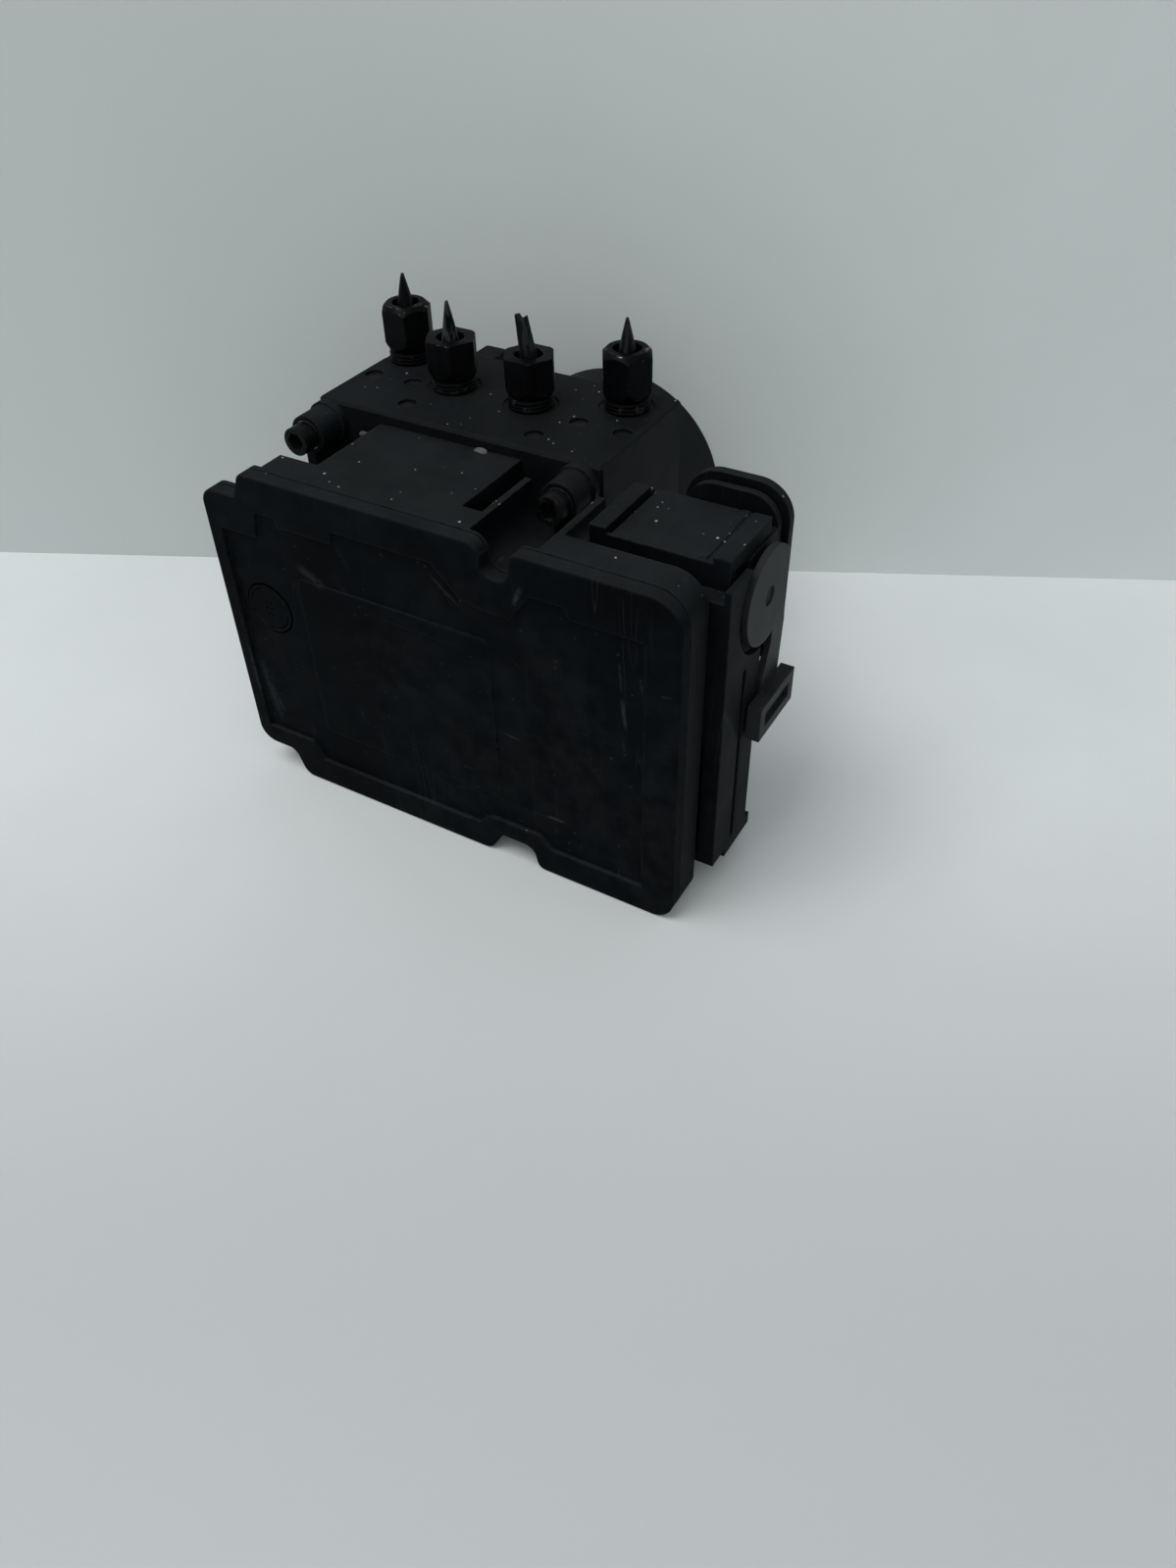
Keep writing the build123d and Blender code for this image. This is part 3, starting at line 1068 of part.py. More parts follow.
def connector_tower():
    """Tower beside the block: front wall, shelf, side wall, low housing and plug shroud."""
    wall_top = TOWER_TOP_Z - SIDE_DROP - SIDE_DROP
    tower = box_between(TOWER_LEFT, TOWER_RIGHT, TOWER_FRONT, SOCKET_FLOOR, TOWER_BOTTOM_Z, wall_top)
    tower += box_between(TOWER_LEFT, UNIT_RIGHT - 6, FLANGE_BACK - 3, TOWER_FRONT + 1, TOWER_BOTTOM_Z + 1,
                         wall_top - 4)
    tower += tower_shelf()
    low_back = TOWER_FRONT + TOWER_LOW_DEPTH
    tower += box_between(TOWER_LOW_LEFT, TOWER_RIGHT - 1, TOWER_FRONT, low_back,
                         TOWER_BOTTOM_Z, TOWER_LOW_TOP_Z)
    tower += box_between(TOWER_LOW_LEFT, TOWER_RIGHT, TOWER_FRONT + FOOT_SETBACK, low_back + FOOT_THICKNESS,
                         TOWER_BOTTOM_Z - FOOT_THICKNESS, TOWER_BOTTOM_Z + 1)
    tower += tower_side()
    outer = rounded_rectangle(SHROUD_LEFT, SHROUD_RIGHT, SHROUD_BOTTOM_Z, SHROUD_TOP_Z, SHROUD_ROUND)
    return tower + slab_y(outer, SOCKET_FLOOR - 1, SHROUD_END)


def socket_hollows():
    """Socket mouth, pin slots and the room under the tower."""
    wall = SHROUD_WALL
    mouth = rounded_rectangle(SHROUD_LEFT + wall, SHROUD_RIGHT - wall, SHROUD_BOTTOM_Z + wall,
                              SHROUD_TOP_Z - wall, SHROUD_ROUND - wall)
    hollows = [slab_y(mouth, SOCKET_FLOOR, SHROUD_END + 1)]
    hollows.append(box_between(TOWER_LOW_LEFT + UNIT_WALL, TOWER_RIGHT - UNIT_WALL - SIDE_THICKNESS,
                               FLANGE_BACK - UNIT_BACK_FLOOR - 1, TOWER_FRONT + TOWER_LOW_DEPTH - UNIT_WALL,
                               TOWER_BOTTOM_Z + UNIT_WALL, TOWER_LOW_TOP_Z - UNIT_WALL))
    half = PIN_WIDTH / 2 + SEAT_GAP
    for x, z in connector_pin_places():
        hollows.append(box_between(x - half, x + half, FLANGE_BACK - UNIT_BACK_FLOOR - 1, SOCKET_FLOOR + 1,
                                   z - half, z + half))
    return hollows


def make_ecu_housing():
    """Moulded housing: flange, coil bay, screw bosses and connector tower in one piece."""
    floor = FLANGE_BACK - UNIT_BACK_FLOOR
    housing = flange() + slab_y(bay_outline(), FLANGE_BACK - FLANGE_CHAMFER - 1, BLOCK_FRONT)
    above = box_between(DECK_LEFT, TOWER_RIGHT, UNIT_FRONT, BLOCK_FRONT, UNIT_TOP, UNIT_TOP + WELL_RADIUS)
    housing += well_core() - above
    housing += connector_tower()
    housing -= slab_y(unit_room(), LID_BACK - 1, floor) - well_core()
    housing -= bay_hollows()
    housing -= well_bore()
    for x, z in unit_screw_places():
        housing += screw_boss(x, z)
    housing -= [rod_y(x, z, BOSS_FRONT - 1, BLOCK_FRONT + 1, SLEEVE_RADIUS + SEAT_GAP)
                for x, z in unit_screw_places()]
    housing -= slab_y(seal_ring(SEAT_GAP), BLOCK_FRONT - SEAL_DEPTH - SEAT_GAP, BLOCK_FRONT + 1)
    return housing - socket_hollows()


def make_unit_screws():
    """Four socket-head screws that clamp the control unit to the block."""
    screws = []
    for x, z in unit_screw_places():
        head = rod_y(x, z, BOSS_FRONT - SCREW_HEAD_LENGTH, BOSS_FRONT, SCREW_HEAD_RADIUS)
        key = Pos(x, BOSS_FRONT - SCREW_HEAD_LENGTH, z) * Rot(90, 0, 0) * RegularPolygon(SOCKET_RADIUS, 6)
        shank = rod_y(x, z, BOSS_FRONT - 1, BLOCK_FRONT + SCREW_BITE, SCREW_RADIUS)
        screws.append(head - extrude(key, -3.0) + shank)
    return screws


def make_screw_sleeves():
    """Steel sleeves that take the screw load inside the bosses."""
    sleeves = []
    for x, z in unit_screw_places():
        outer = rod_y(x, z, BOSS_FRONT, BLOCK_FRONT, SLEEVE_RADIUS)
        sleeves.append(outer - rod_y(x, z, BOSS_FRONT - 1, BLOCK_FRONT + 1, SLEEVE_RADIUS - SLEEVE_WALL))
    return sleeves


def make_circuit_board():
    """Circuit board behind the lid."""
    return box_between(BOARD_LEFT, BOARD_RIGHT, BOARD_FRONT, BOARD_BACK, BOARD_BOTTOM_Z, BOARD_TOP_Z)


def board_part(share_x, share_z, width, height, thickness):
    """Package on the board's front, at a share of the board's width and height."""
    x = BOARD_LEFT + share_x * (BOARD_RIGHT - BOARD_LEFT)
    z = BOARD_BOTTOM_Z + share_z * (BOARD_TOP_Z - BOARD_BOTTOM_Z)
    return box_between(x - width / 2, x + width / 2, BOARD_FRONT - thickness, BOARD_FRONT, z - height / 2,
                       z + height / 2)


def make_board_parts():
    """Controller, two drivers and two capacitors on the board's front."""
    controller = board_part(0.38, 0.58, CHIP_SIZE, CHIP_SIZE, CHIP_THICKNESS)
    small = CHIP_SIZE / 2
    drivers = [board_part(share, 0.56, small, small, CHIP_THICKNESS) for share in (0.12, 0.62)]
    capacitors = [board_part(share, 0.19, CAPACITOR_WIDTH, CAPACITOR_LENGTH, CHIP_THICKNESS)
                  for share in (0.76, 0.86)]
    return [controller, *drivers, *capacitors]


def connector_pin_places():
    """(x, z) of the contact pins in the socket."""
    x_mid = (SHROUD_LEFT + SHROUD_RIGHT) / 2
    z_mid = (SHROUD_BOTTOM_Z + SHROUD_TOP_Z) / 2
    xs = [x_mid + (row - (PIN_ROWS - 1) / 2) * PIN_PITCH * 1.4 for row in range(PIN_ROWS)]
    zs = [z_mid + (step - (PIN_COLUMNS - 1) / 2) * PIN_PITCH * 0.92 for step in range(PIN_COLUMNS)]
    return [(x, z) for x in xs for z in zs]


def make_connector_pins():
    """Contact pins from the board into the socket."""
    half = PIN_WIDTH / 2
    return [box_between(x - half, x + half, BOARD_BACK, SOCKET_FLOOR + PIN_REACH, z - half, z + half)
            for x, z in connector_pin_places()]


# ---- loom plug and its lever ----
def collar_outline(inset):
    """Rounded outline of the plug's collar, moved in by a distance."""
    return rounded_rectangle(COLLAR_LEFT + inset, COLLAR_RIGHT - inset, COLLAR_BOTTOM_Z + inset,
                             COLLAR_TOP_Z - inset, COLLAR_ROUND - inset)


def make_plug_body():
    """Plug insert inside the shroud, with a rim, and cheeks that carry the lever's pivots."""
    inset = SHROUD_WALL + LOOSE_GAP
    face = rounded_rectangle(SHROUD_LEFT + inset, SHROUD_RIGHT - inset, SHROUD_BOTTOM_Z + inset,
                             SHROUD_TOP_Z - inset, SHROUD_ROUND - SHROUD_WALL - 0.1)
    insert_front = SOCKET_FLOOR + 1.0
    body = slab_y(face, insert_front, BODY_RIM_FRONT + 1)
    half = PIN_WIDTH / 2 + LOOSE_GAP
    pin_end = SOCKET_FLOOR + PIN_REACH + 1
    body -= [box_between(x - half, x + half, insert_front - 1, pin_end, z - half, z + half)
             for x, z in connector_pin_places()]
    body += slab_y(collar_outline(COLLAR_RISE), BODY_RIM_FRONT, BODY_RIM_BACK)
    body += slab_y(collar_outline(NECK_INSET), BODY_RIM_BACK - 1, COLLAR_FRONT)
    cheek_front = PIVOT_Y - CHEEK_REACH
    right = COLLAR_RIGHT - COLLAR_RISE
    left = COLLAR_LEFT + COLLAR_RISE
    for low, high in ((right - CHEEK_THICKNESS, right), (left, left + CHEEK_THICKNESS)):
        body += box_between(low, high, cheek_front, BODY_RIM_BACK - 1, PIVOT_Z - 9, CHEEK_TOP_Z)
    pin_out = LEVER_THICKNESS - LOOSE_GAP
    body += rod_x(PIVOT_Y, PIVOT_Z, right - 1, LEVER_INNER_RIGHT + pin_out, PIVOT_PIN_RADIUS)
    body += rod_x(PIVOT_Y, PIVOT_Z, LEVER_INNER_LEFT - pin_out, left + 1, PIVOT_PIN_RADIUS)
    return body


def hood_bottom(hood_back):
    """Lowest height of the hood that the lever's bar still swings under."""
    sweep = PIVOT_Z - LEVER_FOOT_Z - LEVER_BAR_HEIGHT - HOOD_CLEARANCE
    reach = hood_back - PIVOT_Y
    return PIVOT_Z - (sweep**2 - reach**2) ** 0.5


def make_plug_cover():
    """Wire cover behind the plug: a rim and a narrower hood, open at the bottom for the loom."""
    hood_left = COLLAR_LEFT + HOOD_INSET
    hood_right = COLLAR_RIGHT - HOOD_INSET
    hood_top = COLLAR_TOP_Z - HOOD_INSET
    hood_back = COLLAR_BACK + HOOD_DEPTH
    bottom = hood_bottom(hood_back)
    cover = slab_y(collar_outline(0), COLLAR_FRONT, COLLAR_BACK)
    cover = chamfer(cover.edges().group_by(Axis.Y)[-1], 0.8)
    hood = rounded_rectangle(hood_left, hood_right, bottom - HOOD_ROUND, hood_top, HOOD_ROUND)
    hood = slab_y(hood, COLLAR_BACK - 1, hood_back)
    hood = fillet(hood.edges().group_by(Axis.Y)[-1], HOOD_ROUND / 2)
    cover += hood - box_between(hood_left, hood_right, COLLAR_BACK - 1, hood_back, 0, bottom)
    room_left = hood_left + HOOD_WALL
    room_right = hood_right - HOOD_WALL
    room_top = hood_top - HOOD_WALL
    cover -= box_between(room_left, room_right, COLLAR_BACK, hood_back - HOOD_WALL, bottom - 1, room_top)
    cover -= box_between(room_left, room_right, COLLAR_FRONT, COLLAR_BACK + 1, bottom, room_top)
    return cover - slab_y(collar_outline(NECK_INSET + 1), COLLAR_FRONT - 1, COLLAR_BACK - HOOD_WALL)


def lever_arm(x_low, x_high):
    """Disc with a flat and its arm, on one side of the plug."""
    front = TOWER_FRONT + TOWER_LOW_DEPTH + LOOSE_GAP
    back = PIVOT_Y + DISC_FLAT
    arm = Polyline((PIVOT_Y + 4, PIVOT_Z - 8), (back, PIVOT_Z - 6), (back + 1.2, PIVOT_Z - 13),
                   (back, LEVER_FOOT_Z + LEVER_GRIP_HEIGHT), (back, LEVER_FOOT_Z), (front, LEVER_FOOT_Z),
                   (front, LEVER_FOOT_Z + 14), (PIVOT_Y + 4, SIDE_STEP_Z), close=True)
    disc = rod_x(PIVOT_Y, PIVOT_Z, x_low, x_high, DISC_RADIUS)
    disc -= box_between(x_low - 1, x_high + 1, back, back + DISC_RADIUS, 0, COLLAR_TOP_Z)
    side = slab_x(make_face(arm), x_low, x_high) + disc
    return side - rod_x(PIVOT_Y, PIVOT_Z, x_low - 1, x_high + 1, PIVOT_PIN_RADIUS + RUNNING_GAP)


def make_plug_lever():
    """U-shaped locking lever: a disc on each side, a cross bar below the plug and a side grip."""
    right = LEVER_INNER_RIGHT
    left = LEVER_INNER_LEFT
    back = PIVOT_Y + DISC_FLAT
    lever = lever_arm(right, right + LEVER_THICKNESS) + lever_arm(left - LEVER_THICKNESS, left)
    lever += box_between(left - LEVER_THICKNESS, right + LEVER_THICKNESS, back - LEVER_BAR_DEPTH, back,
                         LEVER_FOOT_Z, LEVER_FOOT_Z + LEVER_BAR_HEIGHT)
    outer = right + LEVER_THICKNESS + LEVER_GRIP_RISE
    top = LEVER_FOOT_Z + LEVER_GRIP_HEIGHT
    front = back - LEVER_GRIP_REACH + 4
    grip = box_between(right + 1.3, outer, front, back + 4, LEVER_FOOT_Z, top)
    window = box_between(outer - 1.6, outer + 1, front + 3, back + 1, LEVER_FOOT_Z + 3, top - 3)
    return lever + grip - window


# ---- write every node ----
def export_node(name, shape):
    """Write one node; a list becomes a group of separate solids."""
    solids = Compound(children=list(shape)) if isinstance(shape, list) else shape
    export_step(solids, f"parts/{name}.step")


def main():
    """Build and write the whole module."""
    os.makedirs("parts", exist_ok=True)
    places = top_port_places()
    nodes = {
        "valve_block": make_valve_block(),
        "rounded_tube_nuts": [places[i] * tube_nut(ROUND_NUT_LENGTH, NUT_INSERTION, True) for i in (0, 3)],
        "hex_tube_nuts": [places[i] * tube_nut(HEX_NUT_LENGTH, NUT_INSERTION, False) for i in (1, 2)],
        "inlet_tube_nuts": [place * tube_nut(HEX_NUT_LENGTH, INLET_PORT_DEPTH + SEAT_DEPTH, False)
                            for place in rear_port_places()],
        "inlet_pipe_stubs": rear_stubs(),
        "channel_plugs": [place * rod_z(0, 0, -CHANNEL_PLUG_SUNK - CHANNEL_PLUG_LENGTH, -CHANNEL_PLUG_SUNK,
                                        CHANNEL_PLUG_RADIUS - SEAT_GAP) for place in channel_places()],
        "ecu_lid": make_ecu_lid(),
        "vent_cap": make_vent_cap(),
        "ecu_housing": make_ecu_housing(),
        "housing_seal": make_housing_seal(),
        "ecu_screws": make_unit_screws(),
        "screw_sleeves": make_screw_sleeves(),
        "circuit_board": make_circuit_board(),
        "board_components": make_board_parts(),
        "connector_pins": make_connector_pins(),
        "motor_can": make_motor_can(),
        "motor_end_plate": make_end_plate(),
        "motor_screws": make_motor_screws(),
        "motor_magnets": make_magnets(),
        "armature": make_armature(),
        "commutator": make_commutator(),
        "motor_shaft": make_shaft(),
        "eccentric_ring": make_crank_ring(),
        "front_bearing": bearing(0.2, BEARING_WIDTH),
        "rear_bearing": bearing(*bearing_pocket()),
        "brush_card": make_brush_card(),
        "brushes": make_brushes(),
        "motor_terminals": make_motor_terminals(),
        "terminal_sleeve": make_terminal_sleeve(),
        "pump_plugs": mirrored_pair(pump_plug()),
        "accumulator_caps": mirrored_pair(accumulator_cap()),
        "plug_body": make_plug_body(),
        "plug_cover": make_plug_cover(),
        "plug_lever": make_plug_lever(),
    }
    pairs = {"pump_piston": pump_piston(), "pump_spring": pump_spring(),
             "accumulator_piston": accumulator_piston(), "accumulator_spring": accumulator_spring()}
    for name, right_hand in pairs.items():
        for side, shape in zip(("right", "left"), mirrored_pair(right_hand)):
            nodes[f"{name}_{side}"] = shape
    for index in range(len(OUTLET_PORT_X)):
        nodes[f"pipe_stub_{index + 1}"] = top_stub(index)
    for kind, height, seated in (("inlet", INLET_VALVE_Z, False), ("outlet", OUTLET_VALVE_Z, True)):
        frames = valve_places(height)
        nodes[f"{kind}_valve_cartridges"] = [frame * valve_cartridge() for frame in frames]
        nodes[f"{kind}_valve_coils"] = [frame * valve_coil() for frame in frames]
        nodes[f"{kind}_coil_yokes"] = [frame * coil_yoke() for frame in frames]
        for index, frame in enumerate(frames):
            nodes[f"{kind}_valve_plunger_{index + 1}"] = frame * valve_plunger(seated)
    for name, shape in nodes.items():
        export_node(name, shape)


main()
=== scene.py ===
import logging
from dataclasses import dataclass, fields
from enum import Enum

import bpy
import numpy as np
from mathutils import Matrix


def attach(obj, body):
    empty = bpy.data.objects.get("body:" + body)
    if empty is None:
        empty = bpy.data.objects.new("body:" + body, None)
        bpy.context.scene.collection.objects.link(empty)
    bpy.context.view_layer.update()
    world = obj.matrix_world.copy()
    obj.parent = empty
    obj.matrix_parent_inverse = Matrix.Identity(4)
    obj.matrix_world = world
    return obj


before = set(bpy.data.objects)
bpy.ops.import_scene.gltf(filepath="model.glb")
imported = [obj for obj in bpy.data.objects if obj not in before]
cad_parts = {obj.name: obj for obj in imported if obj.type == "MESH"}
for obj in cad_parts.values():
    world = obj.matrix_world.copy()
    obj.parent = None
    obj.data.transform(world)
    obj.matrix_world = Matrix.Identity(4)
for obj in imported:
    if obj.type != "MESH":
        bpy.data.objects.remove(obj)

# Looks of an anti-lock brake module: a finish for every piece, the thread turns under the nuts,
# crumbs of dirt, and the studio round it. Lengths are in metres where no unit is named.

LOG = logging.getLogger("brake_module")
MM = 0.001
FULL_TURN = 2 * np.pi
Colour = tuple[float, float, float]
Point = tuple[float, float, float]
Socket = bpy.types.NodeSocket
Made = tuple[Socket, ...]


class Effect(Enum):
    """Surface effects that several finishes share: group name, its inputs, its outputs."""

    SPECKS = ("dust_specks", ("Vector", "Cells", "Share", "Size"), ("Mask",))
    TOP_DUST_AND_LIGHT = ("top_dust_and_painted_light", ("Vector", "Patch"), ("Mask",))
    WEAR = ("edge_wear", ("Vector", "Radius", "Breaks"), ("Mask", "Normal"))
    SCRATCHES = ("fine_scratches", ("Vector", "Scale", "Patch"), ("Mask",))
    STROKE = (
        "single_stroke",
        ("Vector", "Start", "End", "Width", "Breaks", "Ragged", "Chance"),
        ("Mask",))
    GRAIN = ("fine_grain", ("Vector", "Scale"), ("Height",))
    CLOUD = ("soft_cloud", ("Vector", "Scale"), ("Value",))


class Shading(Enum):
    """How a new mesh is shaded."""

    SMOOTH = True
    FLAT = False


class Edges(Enum):
    """How the edges of a grid of points join."""

    SHEET = "open on all sides"
    RING = "both ways round"
    POLES = "round one way, closed by a pole at each end"


# ---- node trees ----
class Wiring:
    """Adds nodes to one node tree and joins them."""

    def __init__(self, tree: bpy.types.NodeTree) -> None:
        """Keeps the tree.

        Args:
            tree: node tree of a material or a group.
        """
        self.tree = tree

    def add(self, kind: str, **settings: object) -> bpy.types.Node:
        """Adds a node.

        Args:
            kind: node type name.
            settings: properties set on the node.

        Returns:
            The new node.
        """
        node = self.tree.nodes.new(kind)
        for name, value in settings.items():
            setattr(node, name, value)
        return node

    def feed(self, socket: Socket, value: object) -> None:
        """Links a socket to another one, or sets its constant.

        Args:
            socket: input to feed.
            value: an output socket, or a plain value.
        """
        if isinstance(value, bpy.types.NodeSocket):
            self.tree.links.new(value, socket)
        else:
            socket.default_value = value

    def calc(self, operation: str, *terms: object) -> Socket:
        """Adds a Math node.

        Args:
            operation: Math operation.
            terms: its inputs, sockets or numbers.

        Returns:
            Its value.
        """
        node = self.add("ShaderNodeMath", operation=operation)
        for socket, term in zip(node.inputs, terms):
            self.feed(socket, term)
        return node.outputs[0]

    def vector_calc(self, operation: str, *terms: object) -> bpy.types.Node:
        """Adds a Vector Math node.

        Args:
            operation: Vector Math operation.
            terms: its inputs, sockets or triples.

        Returns:
            The node, whose outputs are Vector and Value.
        """
        node = self.add("ShaderNodeVectorMath", operation=operation)
        for socket, term in zip(node.inputs, terms):
            self.feed(socket, term)
        return node

    def step(self, value: Socket, low: object, high: object) -> Socket:
        """Smooth step: 0 up to low, 1 from high, an S curve between.

        Args:
            value: what is measured.
            low: where it starts to rise.
            high: where it reaches 1.

        Returns:
            The stepped value.
        """
        node = self.add("ShaderNodeMapRange", interpolation_type="SMOOTHSTEP")
        self.feed(node.inputs["Value"], value)
        self.feed(node.inputs["From Min"], low)
        self.feed(node.inputs["From Max"], high)
        return node.outputs["Result"]

    def spread(self, value: Socket, low: float, high: float) -> Socket:
        """Straight map of 0..1 onto low..high.

        Args:
            value: value between 0 and 1.
            low: result at 0.
            high: result at 1.

        Returns:
            The mapped value.
        """
        node = self.add("ShaderNodeMapRange")
        self.feed(node.inputs["Value"], value)
        node.inputs["To Min"].default_value = low
        node.inputs["To Max"].default_value = high
        return node.outputs["Result"]

    def noise(
        self, vector: Socket, scale: object, detail: float = 2.0, rough: float = 0.5
    ) -> Socket:
        """Adds a noise texture.

        Args:
            vector: where it is read.
            scale: waves per metre.
            detail: octaves.
            rough: strength of each further octave.

        Returns:
            Its value, about 0.5 on average.
        """
        node = self.add("ShaderNodeTexNoise")
        self.feed(node.inputs["Vector"], vector)
        self.feed(node.inputs["Scale"], scale)
        node.inputs["Detail"].default_value = detail
        node.inputs["Roughness"].default_value = rough
        return node.outputs["Fac"]

    def turned(
        self, vector: Socket, turn: Point = (0.0, 0.0, 0.0), stretch: Point = (1.0, 1.0, 1.0)
    ) -> Socket:
        """Turns and stretches coordinates.

        Args:
            vector: coordinates.
            turn: Euler angles in radians.
            stretch: scale along each turned axis.

        Returns:
            The new coordinates.
        """
        node = self.add("ShaderNodeMapping")
        self.feed(node.inputs["Vector"], vector)
        node.inputs["Rotation"].default_value = turn
        node.inputs["Scale"].default_value = stretch
        return node.outputs["Vector"]

    def blend(self, factor: object, first: object, second: object) -> Socket:
        """Mixes two colours.

        Args:
            factor: share of the second colour.
            first: colour or socket at 0.
            second: colour or socket at 1.

        Returns:
            The mixed colour.
        """
        node = self.add("ShaderNodeMix", data_type="RGBA")
        self.feed(node.inputs[0], factor)
        for socket, value in ((node.inputs[6], first), (node.inputs[7], second)):
            self.feed(socket, (*value, 1.0) if isinstance(value, tuple) else value)
        return node.outputs[2]


# Pairs are the low and high end of a step or a map; noise scales are in waves per metre.
SPECK_NOISE = 3000.0
SPECK_RAGGED = 0.16
SPECK_SIZES = (0.6, 1.5)
TOP_DUST_AND_LIGHT_SLOPE = (0.25, 0.95)
TOP_DUST_AND_LIGHT_SHARE = (0.45, 1.0)
WEAR_EDGE = (0.012, 0.12)
WEAR_NOISE = 420.0
WEAR_LEVELS = (0.2, 0.62)
WEAR_SOFTNESS = 0.12
SCRATCH_RUNS = (((0.3, 0.5, 0.2), 0.47), ((1.1, -0.7, 0.5), 0.5), ((-0.5, 1.2, 0.9), 0.54))
SCRATCH_STRETCH = (1.0, 0.05, 0.05)
SCRATCH_WIDTH = 0.006
SCRATCH_AREAS = (0.54, 0.68)
STROKE_RAGGED = 0.6 * MM
STROKE_TAPER = (0.2, 0.5)
STROKE_LEVELS = (0.1, 0.6)
STROKE_SOFTNESS = 0.2
CLOUD_RANGE = (0.3, 0.7)
VECTORS = ("Vector", "Start", "End", "Normal")


class Effects:
    """The shared effects, each built once and placed in materials with its own values."""

    def __init__(self) -> None:
        """Starts with no group built."""
        self.groups: dict[Effect, bpy.types.NodeTree] = {}
        self.recipes = {effect: getattr(self, f"_{effect.name.lower()}") for effect in Effect}

    def place(self, wiring: Wiring, effect: Effect, **values: object) -> bpy.types.Node:
        """Places an effect in a tree.

        Args:
            wiring: the tree that gets it.
            effect: which effect.
            values: its inputs by name.

        Returns:
            The group node.
        """
        if effect not in self.groups:
            self.groups[effect] = self._build(effect)
        node = wiring.add("ShaderNodeGroup", node_tree=self.groups[effect])
        for name, value in values.items():
            wiring.feed(node.inputs[name], value)
        return node

    def _build(self, effect: Effect) -> bpy.types.NodeTree:
        """Builds an effect's group: its recipe gets the inputs and returns the outputs, in order.

        Args:
            effect: which effect.

        Returns:
            The group.
        """
        name, inputs, outputs = effect.value
        tree = bpy.data.node_groups.new(name, "ShaderNodeTree")
        for way, labels in (("INPUT", inputs), ("OUTPUT", outputs)):
            for label in labels:
                kind = "NodeSocketVector" if label in VECTORS else "NodeSocketFloat"
                tree.interface.new_socket(label, in_out=way, socket_type=kind)
        w = Wiring(tree)
        given, out = w.add("NodeGroupInput").outputs, w.add("NodeGroupOutput").inputs
        made = self.recipes[effect](w, *(given[label] for label in inputs))
        for label, socket in zip(outputs, made):
            w.feed(out[label], socket)
        return tree

    @staticmethod
    def _specks(w: Wiring, vector: Socket, cells: Socket, share: Socket, size: Socket) -> Made:
        """Dust specks: dots in a few random cells, near whose centres the distance is small.

        Args:
            w: wiring of the group.
            vector: where it is read.
            cells: cells per metre.
            share: share of the cells that hold a speck.
            size: mean radius of a speck, in cells.

        Returns:
            The mask.
        """
        grid = w.add("ShaderNodeTexVoronoi")
        w.feed(grid.inputs["Vector"], vector)
        w.feed(grid.inputs["Scale"], cells)
        split = w.add("ShaderNodeSeparateColor")
        w.feed(split.inputs[0], grid.outputs["Color"])
        chosen = w.calc("LESS_THAN", split.outputs[0], share)
        ragged = w.calc("MULTIPLY", w.noise(vector, SPECK_NOISE), SPECK_RAGGED)
        distance = w.calc("ADD", grid.outputs["Distance"], ragged)
        radius = w.calc("MULTIPLY", size, w.spread(split.outputs[1], *SPECK_SIZES))
        core = w.calc("MULTIPLY", radius, 0.8)
        dot = w.calc("SUBTRACT", 1.0, w.step(distance, core, radius))
        return (w.calc("MULTIPLY", dot, chosen),)

    @staticmethod
    def _top_dust_and_light(w: Wiring, vector: Socket, patch: Socket) -> Made:
        """Settled dust and painted light on top faces: upward-facing share of the surface times a
        patchy noise.

        Args:
            w: wiring of the group.
            vector: where it is read.
            patch: patches per metre.

        Returns:
            The mask.
        """
        split = w.add("ShaderNodeSeparateXYZ")
        w.feed(split.inputs[0], w.add("ShaderNodeNewGeometry").outputs["Normal"])
        upward = w.step(split.outputs["Z"], *TOP_DUST_AND_LIGHT_SLOPE)
        patches = w.step(w.noise(vector, patch, 5.0, 0.6), *CLOUD_RANGE)
        return (w.calc("MULTIPLY", upward, w.spread(patches, *TOP_DUST_AND_LIGHT_SHARE)),)

    @staticmethod
    def _wear(w: Wiring, vector: Socket, radius: Socket, breaks: Socket) -> Made:
        """Edge wear: 1 less the dot product of the rounded normal and the true one, with gaps.

        Args:
            w: wiring of the group.
            vector: where it is read.
            radius: how far round an edge it reaches.
            breaks: 0 whole, 1 mostly gone.

        Returns:
            The mask and the rounded normal.
        """
        soft = w.add("ShaderNodeBevel", samples=4)
        w.feed(soft.inputs["Radius"], radius)
        plain = w.add("ShaderNodeNewGeometry").outputs["Normal"]
        match = w.vector_calc("DOT_PRODUCT", soft.outputs["Normal"], plain).outputs["Value"]
        edge = w.step(w.calc("SUBTRACT", 1.0, match), *WEAR_EDGE)
        level = w.spread(breaks, *WEAR_LEVELS)
        gaps = w.noise(vector, WEAR_NOISE, 5.0, 0.65)
        broken = w.step(gaps, level, w.calc("ADD", level, WEAR_SOFTNESS))
        return w.calc("MULTIPLY", edge, broken), soft.outputs["Normal"]

    @staticmethod
    def _scratches(w: Wiring, vector: Socket, scale: Socket, patch: Socket) -> Made:
        """Fine scratches: thin level lines of noise stretched three ways, kept in patches.

        Args:
            w: wiring of the group.
            vector: where it is read.
            scale: lines per metre, about.
            patch: patches per metre.

        Returns:
            The mask.
        """
        total = None
        for turn, shift in SCRATCH_RUNS:
            level = w.noise(w.turned(vector, turn, SCRATCH_STRETCH), scale, 1.0, 0.4)
            gap = w.calc("ABSOLUTE", w.calc("SUBTRACT", level, shift))
            line = w.calc("SUBTRACT", 1.0, w.step(gap, 0.0, SCRATCH_WIDTH))
            area = w.noise(w.turned(vector, turn), patch, 3.0)
            kept = w.calc("MULTIPLY", line, w.step(area, *SCRATCH_AREAS))
            total = kept if total is None else w.calc("MAXIMUM", total, kept)
        return (total,)

